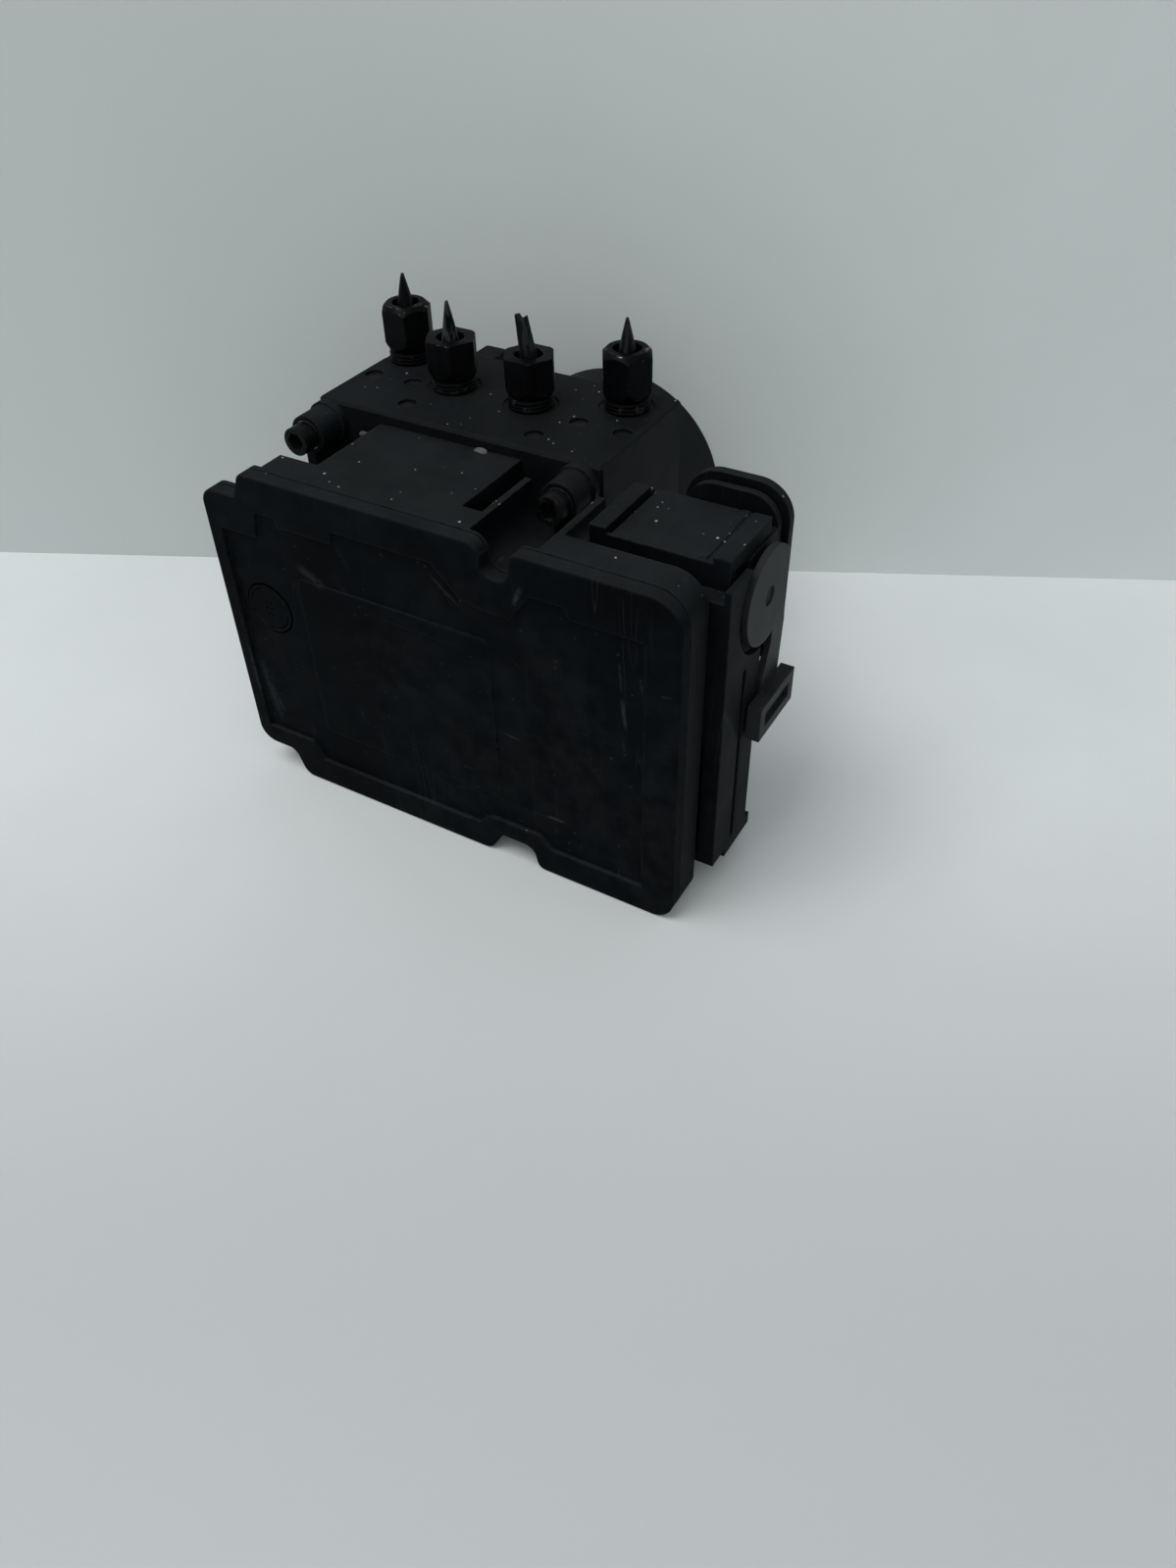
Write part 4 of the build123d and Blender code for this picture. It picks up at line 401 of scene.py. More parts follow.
    @staticmethod
    def _stroke(
        w: Wiring, vector: Socket, start: Socket, end: Socket, width: Socket, breaks: Socket,
        ragged: Socket, chance: Socket,
    ) -> Made:
        """One stroke: distance to the line between two ends, against a width, thinned by noise.

        Args:
            w: wiring of the group.
            vector: where it is read.
            start: one end.
            end: other end.
            width: half its width.
            breaks: 0 whole, 1 mostly gone.
            ragged: noise that roughens its outline.
            chance: noise that breaks it.

        Returns:
            The mask.
        """
        run = w.vector_calc("SUBTRACT", end, start).outputs["Vector"]
        offset = w.vector_calc("SUBTRACT", vector, start).outputs["Vector"]
        length = w.vector_calc("DOT_PRODUCT", run, run).outputs["Value"]
        share = w.calc("DIVIDE", w.vector_calc("DOT_PRODUCT", offset, run).outputs["Value"], length)
        clamped = w.calc("MINIMUM", w.calc("MAXIMUM", share, 0.0), 1.0)
        foot = w.vector_calc("SCALE", run)
        w.feed(foot.inputs["Scale"], clamped)
        away = w.vector_calc("SUBTRACT", offset, foot.outputs["Vector"]).outputs["Vector"]
        distance = w.vector_calc("LENGTH", away).outputs["Value"]
        reach = w.calc("ADD", distance, w.calc("MULTIPLY", ragged, STROKE_RAGGED))
        band = w.calc("SUBTRACT", 1.0, w.step(reach, 0.0, width))
        from_middle = w.calc("ABSOLUTE", w.calc("SUBTRACT", share, 0.5))
        taper = w.calc("SUBTRACT", 1.0, w.step(from_middle, *STROKE_TAPER))
        level = w.spread(breaks, *STROKE_LEVELS)
        broken = w.step(chance, level, w.calc("ADD", level, STROKE_SOFTNESS))
        return (w.calc("MULTIPLY", w.calc("MULTIPLY", band, taper), broken),)

    @staticmethod
    def _grain(w: Wiring, vector: Socket, scale: Socket) -> Made:
        """Fine grain: noise of two sizes, one three times finer than the other.

        Args:
            w: wiring of the group.
            vector: where it is read.
            scale: grains per metre, about.

        Returns:
            The height.
        """
        coarse = w.noise(vector, scale, 2.0, 0.6)
        fine = w.noise(vector, w.calc("MULTIPLY", scale, 3.0), 1.0)
        return (w.calc("ADD", coarse, w.calc("MULTIPLY", fine, 0.5)),)

    @staticmethod
    def _cloud(w: Wiring, vector: Socket, scale: Socket) -> Made:
        """Soft cloud: many-octave noise pulled apart round its middle.

        Args:
            w: wiring of the group.
            vector: where it is read.
            scale: clouds per metre, about.

        Returns:
            The value.
        """
        return (w.step(w.noise(vector, scale, 5.0, 0.6), *CLOUD_RANGE),)


# ---- finishes ----
DUST = (0.42, 0.43, 0.42)
# Colour of painted shade in gaps and holes.
PAINTED_SHADE_BLACK = (0.0002, 0.0002, 0.0003)
TOP_DUST_AND_LIGHT_GREY = (0.03, 0.033, 0.035)
HAZE_GREY = (0.012, 0.0135, 0.015)
COAT_LIFT = 2.3
STEEL_LIFT = 1.8
SPECK_LAYERS = ((1.0, 0.2), (0.45, 0.13))
OUTLINE_NOISE = 900.0
BREAK_NOISE = 700.0
RELIEF_DEPTH = 0.2 * MM
STREAK_STRETCH = (1.0, 1.0, 0.12)


def scaled(parts: Colour | Point, factor: float) -> Colour | Point:
    """Brightens a colour or scales a point.

    Args:
        parts: the colour or the point.
        factor: what each part is multiplied by.

    Returns:
        The new colour or point.
    """
    return tuple(factor * part for part in parts)


class Canvas:
    """A new material: its shader, its wiring, and the object coordinates that its effects read."""

    def __init__(self, name: str, effects: Effects) -> None:
        """Starts the material.

        Args:
            name: its name.
            effects: shared effects.
        """
        self.made = bpy.data.materials.new(name)
        self.made.use_nodes = True
        self.effects = effects
        self.wiring = Wiring(self.made.node_tree)
        self.shader = self.made.node_tree.nodes["Principled BSDF"]
        self.where = self.wiring.add("ShaderNodeTexCoord").outputs["Object"]

    def place(self, effect: Effect, **values: object) -> bpy.types.NodeOutputs:
        """Places an effect that reads the object coordinates.

        Args:
            effect: which effect.
            values: its other inputs by name.

        Returns:
            Its outputs.
        """
        return self.effects.place(self.wiring, effect, Vector=self.where, **values).outputs

    def stroked(self, base: Socket, strokes: tuple["Stroke", ...]) -> Socket:
        """Lays strokes over a mask; all of them share two noises.

        Args:
            base: the mask.
            strokes: the strokes.

        Returns:
            The largest of the mask and the strokes.
        """
        if not strokes:
            return base
        w = self.wiring
        ragged = w.noise(self.where, OUTLINE_NOISE)
        chance = w.noise(self.where, BREAK_NOISE, 4.0, 0.6)
        for stroke in strokes:
            base = w.calc("MAXIMUM", base, stroke.mask(self, ragged, chance))
        return base

    def relief(self, strength: float, height: Socket, normal: Socket | None = None) -> None:
        """Bumps the surface.

        Args:
            strength: strength of the bump.
            height: its height.
            normal: normal that it starts from, if not the surface's own.
        """
        bump = self.wiring.add("ShaderNodeBump")
        bump.inputs["Strength"].default_value = strength
        bump.inputs["Distance"].default_value = RELIEF_DEPTH
        self.wiring.feed(bump.inputs["Height"], height)
        if normal is not None:
            self.wiring.feed(bump.inputs["Normal"], normal)
        self.wiring.feed(self.shader.inputs["Normal"], bump.outputs["Normal"])


@dataclass(frozen=True)
class Stroke:
    """One scuff or scratch on a surface, or a painted highlight, in millimetres."""

    start: Point
    end: Point
    width: float
    breaks: float
    strength: float

    def mask(self, canvas: Canvas, ragged: Socket, chance: Socket) -> Socket:
        """Wires the stroke.

        Args:
            canvas: the material.
            ragged: noise that roughens the stroke's outline.
            chance: noise that decides where it breaks.

        Returns:
            How strongly the stroke shows.
        """
        band = canvas.place(
            Effect.STROKE, Start=scaled(self.start, MM), End=scaled(self.end, MM),
            Width=self.width * MM, Breaks=self.breaks, Ragged=ragged, Chance=chance)
        return canvas.wiring.calc("MULTIPLY", band["Mask"], self.strength)


@dataclass(frozen=True)
class PaintedShadeMark:
    """Painted shade: a dark ring round a point, or a dark dot where the radius is zero, in
    millimetres.
    """

    centre: Point
    radius: float
    width: float

    def mask(self, canvas: Canvas) -> Socket:
        """Wires the ring: 1 where the distance from the centre is about the radius.

        Args:
            canvas: the material.

        Returns:
            How dark the place is.
        """
        w, width = canvas.wiring, self.width * MM
        centre = scaled(self.centre, MM)
        distance = w.vector_calc("DISTANCE", canvas.where, centre).outputs["Value"]
        off = w.calc("ABSOLUTE", w.calc("SUBTRACT", distance, self.radius * MM))
        return w.calc("SUBTRACT", 1.0, w.step(off, 0.5 * width, width))


@dataclass(frozen=True)
class Finish:
    """What every finish has: the name of its material and a ground colour."""

    name: str
    colour: Colour

    def material(self, effects: Effects) -> bpy.types.Material:
        """Builds the finish.

        Args:
            effects: shared effects.

        Returns:
            The material.
        """
        canvas = Canvas(self.name, effects)
        self.paint(canvas)
        return canvas.made

    def paint(self, canvas: Canvas) -> None:
        """Wires the finish.

        Args:
            canvas: the new material.
        """
        raise NotImplementedError


@dataclass(frozen=True)
class ScuffedCoat(Finish):
    """Dark moulded plastic or coating.

    It has a cloudy tone, haze, settled dust that is also painted light on upward faces, pale edges,
    scratches, strokes (scuffs, and on the housing a painted highlight), dust specks, painted shade
    in dark rings and dots, and a grain, laid over each other in that order.
    """

    wear_and_highlight: Colour
    roughness: float = 0.6
    specular: float = 0.06
    top_dust_and_light: float = 0.5
    specks: float = 0.12
    speck_cells: float = 520.0
    haze: float = 0.15
    scratches: float = 0.35
    edge: float = 0.5
    edge_radius: float = 0.5
    breaks: float = 0.5
    grain: float = 1400.0
    bump: float = 0.12
    strokes: tuple[Stroke, ...] = ()
    shade_marks: tuple[PaintedShadeMark, ...] = ()

    def paint(self, canvas: Canvas) -> None:
        """Wires the finish.

        Args:
            canvas: the new material.
        """
        w, shader = canvas.wiring, canvas.shader
        cloud = canvas.place(Effect.CLOUD, Scale=38.0)["Value"]
        # Upward faces: settled dust, and painted light that makes the tops lighter.
        top_dust_and_light = canvas.place(Effect.TOP_DUST_AND_LIGHT, Patch=55.0)["Mask"]
        dots = []
        for density, size in SPECK_LAYERS:
            cells = density * self.speck_cells
            layer = canvas.place(Effect.SPECKS, Cells=cells, Share=self.specks, Size=size)
            dots.append(layer["Mask"])
        dusty = w.calc("MULTIPLY", w.calc("MAXIMUM", *dots), w.spread(top_dust_and_light, 0.03, 1.0))
        wear = canvas.place(Effect.WEAR, Radius=self.edge_radius * MM, Breaks=self.breaks)
        lines = canvas.place(Effect.SCRATCHES, Scale=150.0, Patch=26.0)["Mask"]
        marks = canvas.stroked(w.calc("MULTIPLY", lines, self.scratches), self.strokes)
        patch = canvas.place(Effect.CLOUD, Scale=15.0)["Value"]
        mottle = canvas.place(Effect.CLOUD, Scale=170.0)["Value"]
        veil = w.calc("MULTIPLY", w.calc("MULTIPLY", patch, mottle), self.haze)
        layers = [
            (veil, HAZE_GREY),
            # Settled dust and painted light on upward faces.
            (w.calc("MULTIPLY", top_dust_and_light, self.top_dust_and_light), TOP_DUST_AND_LIGHT_GREY),
            (w.calc("MULTIPLY", wear["Mask"], self.edge), self.wear_and_highlight),
            # Scratches and strokes; on the housing one stroke is a painted highlight.
            (marks, self.wear_and_highlight),
            (dusty, DUST),
        ]
        # Painted shade: dark rings and dots where shade falls in gaps and holes.
        layers += [(shade_mark.mask(canvas), PAINTED_SHADE_BLACK) for shade_mark in self.shade_marks]
        tone = w.blend(cloud, self.colour, scaled(self.colour, COAT_LIFT))
        for mask, colour in layers:
            tone = w.blend(mask, tone, colour)
        w.feed(shader.inputs["Base Color"], tone)
        gloss = w.spread(cloud, self.roughness - 0.05, self.roughness + 0.08)
        w.feed(shader.inputs["Roughness"], w.calc("ADD", gloss, w.calc("MULTIPLY", top_dust_and_light, 0.12)))
        shader.inputs["Specular IOR Level"].default_value = self.specular
        grain = canvas.place(Effect.GRAIN, Scale=self.grain)["Height"]
        height = w.calc("SUBTRACT", grain, w.calc("MULTIPLY", marks, 0.6))
        canvas.relief(self.bump, height, wear["Normal"])


@dataclass(frozen=True)
class ChippedSteel(Finish):
    """Dark plated steel that is chipped at its edges or scraped to bright metal."""

    bare: Colour = (0.3, 0.31, 0.32)
    roughness: float = 0.45
    chips: float = 0.8
    breaks: float = 0.75
    edge_radius: float = 0.45
    scrape: float = 0.02
    scrape_range: tuple[float, float] = (0.44, 0.6)
    streak_scale: float = 1100.0
    specular: float = 0.08
    strokes: tuple[Stroke, ...] = ()

    def paint(self, canvas: Canvas) -> None:
        """Wires the finish.

        Args:
            canvas: the new material.
        """
        w, shader = canvas.wiring, canvas.shader
        cloud = canvas.place(Effect.CLOUD, Scale=130.0)["Value"]
        wear = canvas.place(Effect.WEAR, Radius=self.edge_radius * MM, Breaks=self.breaks)
        long_cells = w.turned(canvas.where, stretch=STREAK_STRETCH)
        streaks = w.noise(long_cells, self.streak_scale, 4.0, 0.65)
        scraped = w.calc("MULTIPLY", w.step(streaks, *self.scrape_range), self.scrape)
        chipped = w.calc("MULTIPLY", wear["Mask"], self.chips)
        bright = canvas.stroked(w.calc("MAXIMUM", scraped, chipped), self.strokes)
        tone = w.blend(cloud, self.colour, scaled(self.colour, STEEL_LIFT))
        w.feed(shader.inputs["Base Color"], w.blend(bright, tone, self.bare))
        w.feed(shader.inputs["Metallic"], w.calc("MULTIPLY", bright, 0.85))
        gloss = w.spread(cloud, self.roughness - 0.08, self.roughness + 0.12)
        w.feed(shader.inputs["Roughness"], gloss)
        shader.inputs["Specular IOR Level"].default_value = self.specular
        grain = canvas.place(Effect.GRAIN, Scale=1800.0)["Height"]
        height = w.calc("ADD", grain, w.calc("MULTIPLY", streaks, 0.4))
        canvas.relief(0.12, height, wear["Normal"])


@dataclass(frozen=True)
class InnerFinish(Finish):
    """Clean inner piece: a ground colour, a second one in fine lines or clouds, a light grain."""

    second: Colour
    metallic: float
    roughness: float
    line_axis: Point = (0.0, 0.0, 0.0)
    line_scale: float = 0.0

    def paint(self, canvas: Canvas) -> None:
        """Wires the finish: lines are sines of line_scale times the way along line_axis.

        Args:
            canvas: the new material.
        """
        w, shader = canvas.wiring, canvas.shader
        cloud = canvas.place(Effect.CLOUD, Scale=90.0)["Value"]
        pattern = cloud
        if self.line_scale:
            along = w.vector_calc("DOT_PRODUCT", canvas.where, self.line_axis).outputs["Value"]
            wave = w.calc("SINE", w.calc("MULTIPLY", along, self.line_scale))
            pattern = w.calc("MULTIPLY", w.spread(wave, 0.5, 1.0), w.spread(cloud, 0.7, 1.0))
        w.feed(shader.inputs["Base Color"], w.blend(pattern, self.colour, self.second))
        shader.inputs["Metallic"].default_value = self.metallic
        gloss = w.spread(cloud, self.roughness - 0.06, self.roughness + 0.08)
        w.feed(shader.inputs["Roughness"], gloss)
        grain = canvas.place(Effect.GRAIN, Scale=1500.0)["Height"]
        canvas.relief(0.1, w.calc("ADD", grain, pattern))


@dataclass(frozen=True)
class PaleSurface(Finish):
    """Pale floor or wall: faintly cloudy, with painted shade that darkens it away from a place,
    clear from behind.
    """

    roughness: float
    shade: float
    span: tuple[float, float]
    origin: Point
    outward: Point

    def paint(self, canvas: Canvas) -> None:
        """Wires the finish: as painted shade, the colour falls to its shade level over the span
        along outward from origin.

        Args:
            canvas: the new material.
        """
        w, shader = canvas.wiring, canvas.shader
        cloud = canvas.place(Effect.CLOUD, Scale=7.0)["Value"]
        offset = w.vector_calc("SUBTRACT", canvas.where, self.origin).outputs["Vector"]
        away = w.vector_calc("DOT_PRODUCT", offset, self.outward).outputs["Value"]
        tone = w.blend(cloud, self.colour, scaled(self.colour, 0.95))
        # Painted shade: darker along outward from origin.
        tone = w.blend(w.step(away, *self.span), tone, scaled(self.colour, self.shade))
        w.feed(shader.inputs["Base Color"], tone)
        shader.inputs["Roughness"].default_value = self.roughness
        shader.inputs["Specular IOR Level"].default_value = 0.2
        either = w.add("ShaderNodeMixShader")
        sources = (
            w.add("ShaderNodeNewGeometry").outputs["Backfacing"],
            shader.outputs["BSDF"],
            w.add("ShaderNodeBsdfTransparent").outputs["BSDF"],
        )
        for socket, source in zip(either.inputs, sources):
            w.feed(socket, source)
        output = canvas.made.node_tree.nodes["Material Output"]
        w.feed(output.inputs["Surface"], either.outputs[0])


# ---- meshes ----
def grid_mesh(name: str, points: np.ndarray, edges: Edges, shading: Shading) -> bpy.types.Object:
    """Makes a surface from a grid of points.

    Each cell (i, j), (i+1, j), (i+1, j+1), (i, j+1) becomes one face. At a pole, one more point at
    the middle of the end row closes it with triangles.

    Args:
        name: name of the piece.
        points: array rows x columns x 3.
        edges: how the grid's edges join.
        shading: smooth or flat.

    Returns:
        The piece, at the origin.
    """
    rows, columns = points.shape[:2]
    i = np.arange(rows if edges is Edges.RING else rows - 1)
    j = np.arange(columns - 1 if edges is Edges.SHEET else columns)
    i, j = np.meshgrid(i, j, indexing="ij")
    below, right = (i + 1) % rows, (j + 1) % columns
    corners = (i * columns + j, below * columns + j, below * columns + right, i * columns + right)
    faces = np.stack(corners, axis=-1).reshape(-1, 4).tolist()
    spots = points.reshape(-1, 3)
    if edges is Edges.POLES:
        first = np.arange(columns)
        after = (first + 1) % columns
        last = (rows - 1) * columns
        top = np.full(columns, rows * columns)
        bottom = top + 1
        faces += np.stack((top, first, after), axis=-1).tolist()
        faces += np.stack((bottom, last + after, last + first), axis=-1).tolist()
        middles = (points[0].mean(axis=0)[None], points[-1].mean(axis=0)[None])
        spots = np.concatenate((spots, *middles))
    mesh = bpy.data.meshes.new(name)
    mesh.from_pydata(spots.tolist(), [], faces)
    mesh.polygons.foreach_set("use_smooth", np.full(len(faces), shading.value))
    mesh.update()
    piece = bpy.data.objects.new(name, mesh)
    bpy.context.scene.collection.objects.link(piece)
    return piece


@dataclass
class ThreadTurns:
    """The turns of thread that show on a pipe nut's neck above the block, in millimetres."""

    name: str
    x: float
    y: float
    low: float = 104.7
    high: float = 108.1
    root: float = 5.97
    ridge: float = 0.3
    pitch: float = 1.0
    run_out: float = 0.3
    sunk: float = 0.1
    wall: float = 0.4
    around: int = 72
    up: int = 44

    def build(self) -> bpy.types.Object:
        """Makes the turns.

        Radius = root + ridge * (1 - |2 s - 1|), with s the fraction of (z / pitch - angle / full
        turn). It fades to root - sunk at both ends, and an inner wall closes the ring.

        Returns:
            The piece.
        """
        angle = np.linspace(0, FULL_TURN, self.around, endpoint=False)[None, :]
        z = np.linspace(self.low, self.high, self.up)[:, None]
        phase = np.mod(z / self.pitch - angle / FULL_TURN, 1.0)
        fade = np.clip(np.minimum(z - self.low, self.high - z) / self.run_out, 0, 1)
        crest = self.sunk + self.ridge * (1 - np.abs(2 * phase - 1))
        outer = self._ring(self.root - self.sunk + fade * crest, angle, z)
        ends = np.array([[self.high], [self.low]])
        inner = self._ring(np.full((2, self.around), self.root - self.wall), angle, ends)
        points = np.concatenate((outer, inner)) * MM
        return grid_mesh(self.name, points[::-1], Edges.RING, Shading.SMOOTH)

    def _ring(self, radius: np.ndarray, angle: np.ndarray, z: np.ndarray) -> np.ndarray:
        """Rows of points: (x + r cos a, y + r sin a, z).

        Args:
            radius: rows x columns of radii.
            angle: one row of angles.
            z: one column of heights.

        Returns:
            Array rows x columns x 3.
        """
        across = self.x + radius * np.cos(angle)
        deep = self.y + radius * np.sin(angle)
        return np.stack((across, deep, np.broadcast_to(z, radius.shape)), axis=-1)


@dataclass
class GrimeLump:
    """A small crumb of dried dirt, in millimetres."""

    name: str
    centre: Point
    size: Point
    seed: int
    rows: int = 24
    columns: int = 36
    pole_gap: float = 0.12
    waves: int = 5
    wave_height: float = 0.16

    def build(self) -> bpy.types.Object:
        """Makes the crumb.

        A point at latitude t and longitude a lies at size * (1 + sum over k = 1 to waves of
        wave_height / k * sin(k a + shift) * sin((k + 1) t + shift) * sin t) in the direction
        (sin t cos a, sin t sin a, cos t), for t short of both poles by pole_gap.

        Returns:
            The piece.
        """
        chance = np.random.default_rng(self.seed)
        t = np.linspace(self.pole_gap, np.pi - self.pole_gap, self.rows)[:, None]
        a = np.linspace(0, FULL_TURN, self.columns, endpoint=False)[None, :]
        swell = np.ones((self.rows, self.columns))
        for k in range(1, self.waves + 1):
            shift = chance.uniform(0, FULL_TURN, 2)
            height = self.wave_height / k
            swell += height * np.sin(k * a + shift[0]) * np.sin((k + 1) * t + shift[1]) * np.sin(t)
        upright = np.cos(t) * np.ones_like(a)
        direction = np.stack((np.sin(t) * np.cos(a), np.sin(t) * np.sin(a), upright), axis=-1)
        offsets = np.array(self.size) * swell[..., None] * direction
        points = (np.array(self.centre) + offsets) * MM
        return grid_mesh(self.name, points, Edges.POLES, Shading.SMOOTH)


def stroke_table(*rows: tuple) -> tuple[Stroke, ...]:
    """Makes strokes from a table.

    Args:
        rows: start, end, width, breaks and strength of each.

    Returns:
        The strokes.
    """
    return tuple(Stroke(*row) for row in rows)


# Depths of the lid's panel, of its label field and of its outermost face, in millimetres.
PANEL = -61.6
LABEL = -62.0
FRONT = -62.8
LID_STROKES = stroke_table(
    ((-26.4, PANEL, 78.2), (-16.3, PANEL, 73.0), 2.6, 0.45, 0.45),
    ((17.4, PANEL, 89.3), (27.7, PANEL, 80.6), 0.9, 0.3, 0.52),
    ((20.4, PANEL, 85.7), (27.0, PANEL, 81.0), 0.5, 0.3, 0.68),
    ((21.6, PANEL, 84.4), (26.2, PANEL, 79.6), 0.5, 0.3, 0.45),
    ((-50.8, FRONT, 47.9), (-49.9, FRONT, 24.0), 1.2, 0.5, 0.6),
    ((-48.6, PANEL, 44.0), (-44.9, PANEL, 16.0), 2.4, 0.55, 0.45),
    ((-46.5, PANEL, 33.0), (-42.8, PANEL, 20.0), 1.0, 0.5, 0.6),
    ((-30.2, PANEL, 54.0), (-28.8, PANEL, 49.1), 0.5, 0.3, 0.6),
    ((-22.2, LABEL, 34.4), (-20.0, LABEL, 31.1), 0.4, 0.2, 0.75),
    ((-13.1, LABEL, 30.7), (-4.2, LABEL, 31.3), 0.6, 0.5, 0.52),
    ((-11.2, PANEL, 89.0), (-7.0, PANEL, 80.4), 0.8, 0.5, 0.38),
    ((-4.1, LABEL, 70.1), (28.6, LABEL, 69.0), 0.7, 0.5, 0.27),
    ((30.8, LABEL, 49.4), (34.9, PANEL, 45.7), 0.5, 0.3, 0.6),
    ((34.9, PANEL, 45.7), (43.0, PANEL, 44.6), 0.8, 0.3, 0.75),
    ((39.4, PANEL, 20.0), (52.0, PANEL, 20.8), 0.6, 0.45, 0.45),
    ((48.5, PANEL, 20.9), (55.2, PANEL, 20.9), 1.1, 0.1, 0.95),
    ((41.1, PANEL, 71.6), (43.2, PANEL, 68.4), 0.6, 0.3, 0.52),
    ((71.4, PANEL, 81.1), (72.2, PANEL, 70.6), 1.0, 0.45, 0.45),
    ((72.2, PANEL, 70.6), (73.4, PANEL, 59.8), 1.3, 0.35, 0.68),
    ((70.5, PANEL, 71.8), (74.2, PANEL, 73.2), 0.4, 0.3, 0.45),
    ((77.0, PANEL, 77.9), (77.9, PANEL, 72.7), 0.8, 0.4, 0.6),
    ((72.2, PANEL, 59.3), (73.1, PANEL, 52.9), 0.7, 0.45, 0.45),
    ((82.9, FRONT, 75.2), (86.5, FRONT, 75.9), 0.8, 0.4, 0.52),
    ((83.7, FRONT, 61.0), (86.5, FRONT, 61.2), 0.6, 0.4, 0.52),
    ((61.2, PANEL, 36.3), (68.5, PANEL, 32.1), 0.6, 0.5, 0.3),
    ((51.0, PANEL, 54.9), (73.9, PANEL, 54.2), 0.7, 0.55, 0.3),
    ((20.1, LABEL, 27.9), (27.3, LABEL, 28.7), 0.9, 0.5, 0.38),
    ((43.5, FRONT, 87.4), (46.1, FRONT, 94.0), 1.4, 0.45, 0.83),
)
NUT_STROKES = stroke_table(
    ((33.6, 5.6, 120.7), (35.7, 5.9, 120.7), 0.5, 0.15, 1.0),
    ((38.8, 12.0, 121.0), (38.8, 14.9, 120.7), 1.0, 0.4, 0.7),
    ((39.8, 9.9, 120.4), (39.7, 8.7, 119.2), 0.5, 0.3, 0.6),
    ((-34.4, 6.1, 120.2), (-34.0, 6.1, 120.2), 0.45, 0.1, 0.95),
    ((-31.5, 12.0, 120.4), (-31.2, 14.0, 120.0), 0.9, 0.35, 0.55),
    ((-40.0, 5.1, 119.8), (-40.2, 5.1, 119.0), 0.4, 0.3, 0.5),
)
# Painted shade at the vent: dark rings in the gap round the cap and inside its lip, dots in its
# holes.
VENT_MIDDLE = (-39.2, -61.8, 60.2)
VENT_GAP_SHADE = PaintedShadeMark(VENT_MIDDLE, 7.7, 0.4)
VENT_SHADE_MARKS = (VENT_GAP_SHADE, PaintedShadeMark(VENT_MIDDLE, 6.4, 0.25)) + tuple(
    PaintedShadeMark((VENT_MIDDLE[0] + across, VENT_MIDDLE[1], VENT_MIDDLE[2] + up), 0.0, 0.6)
    for up in (2.0, 0.0, -2.0)
    for across in (-0.85, 0.85)
)
HOUSING_SCRATCH_AND_HIGHLIGHT_STROKES = stroke_table(
    ((63.7, -24.6, 99.5), (67.4, -17.0, 99.5), 0.4, 0.2, 0.6),
    # Painted highlight: a pale line along the screw notch's right wall, where its rounded corner
    # catches light.
    ((32.6, -48.8, 90.9), (33.4, -56.0, 91.2), 1.0, 0.3, 0.75),
)


# ---- sub-assemblies ----
class Assembly:
    """A set of pieces that share a body and are dressed together."""

    def __init__(self, effects: Effects) -> None:
        """Keeps the shared effects.

        Args:
            effects: shared effects.
        """
        self.effects = effects

    def dress(self, finish: Finish, *names: str) -> None:
        """Gives CAD nodes a finish.

        Args:
            finish: the finish.
            names: the nodes.
        """
        material = finish.material(self.effects)
        for name in names:
            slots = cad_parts[name].data.materials
            if not slots:
                slots.append(material)
            for index in range(len(slots)):
                slots[index] = material
            LOG.info("%s: %s", name, finish.name)

    def fit(self, piece: bpy.types.Object, finish: bpy.types.Material, slot: str) -> None:
        """Dresses a new piece and lets it ride on the module.

        Args:
            piece: the new piece.
            finish: its material.
            slot: not used.
        """
        piece.data.materials.append(finish)
        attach(piece, "module")
        LOG.info("%s: %d faces", piece.name, len(piece.data.polygons))


def matching(word: str) -> list[str]:
    """CAD nodes with a word in their name.

    Args:
        word: the word.

    Returns:
        Their names in order.
    """
    return sorted(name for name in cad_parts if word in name)


@dataclass(frozen=True)
class BlockFinishes:
    """Finishes of the valve block and what is screwed into it."""

    block: Finish = ScuffedCoat(
        "block_coating", (0.0026, 0.0033, 0.004), (0.04, 0.043, 0.046), roughness=0.55,
        specular=0.05, top_dust_and_light=0.13, specks=0.09, speck_cells=620.0, edge=0.35, breaks=0.45,
        grain=2200.0, bump=0.25, scratches=0.12)
    nuts: Finish = ChippedSteel(
        "nut_plating", (0.0012, 0.0014, 0.0018), breaks=0.86, scrape=0.003, specular=0.05,
        strokes=NUT_STROKES)
    pipes: Finish = ChippedSteel(
        "scraped_pipe", (0.0018, 0.0022, 0.0026), (0.085, 0.095, 0.1), roughness=0.55, chips=0.2,
        scrape=0.2, scrape_range=(0.49, 0.58), streak_scale=700.0)
    pale_pipe: Finish = ChippedSteel(
        "pale_pipe", (0.0018, 0.0022, 0.0026), (0.11, 0.12, 0.125), roughness=0.55, chips=0.3,
        scrape=0.42, scrape_range=(0.46, 0.54), streak_scale=700.0)
    plugs: Finish = ChippedSteel("sunk_plug", (0.004, 0.0046, 0.0054), chips=0.2)


class HydraulicBlock(Assembly):
    """Valve block with its pipe nuts, cut pipes and closed drillings."""

    nut_places = ((-37.6, 11.5), (-15.1, 0.9), (10.0, 0.9), (33.8, 11.5))

    def build(self) -> None:
        """Dresses the block and adds the thread turns under the nuts."""
        looks = BlockFinishes()
        self.dress(looks.block, "valve_block")
        self.dress(looks.nuts, *matching("tube_nuts"))
        pale_stub = "pipe_stub_2"
        self.dress(looks.pipes, *(name for name in matching("pipe_stub") if name != pale_stub))
        self.dress(looks.pale_pipe, pale_stub)
        self.dress(looks.plugs, "channel_plugs", "pump_plugs", "accumulator_caps")
        thread_finish = looks.nuts.material(self.effects)
        for index, (x, y) in enumerate(self.nut_places, start=1):
            turns = ThreadTurns(f"nut_thread_{index}", x, y)
            self.fit(turns.build(), thread_finish, "nut_steel")


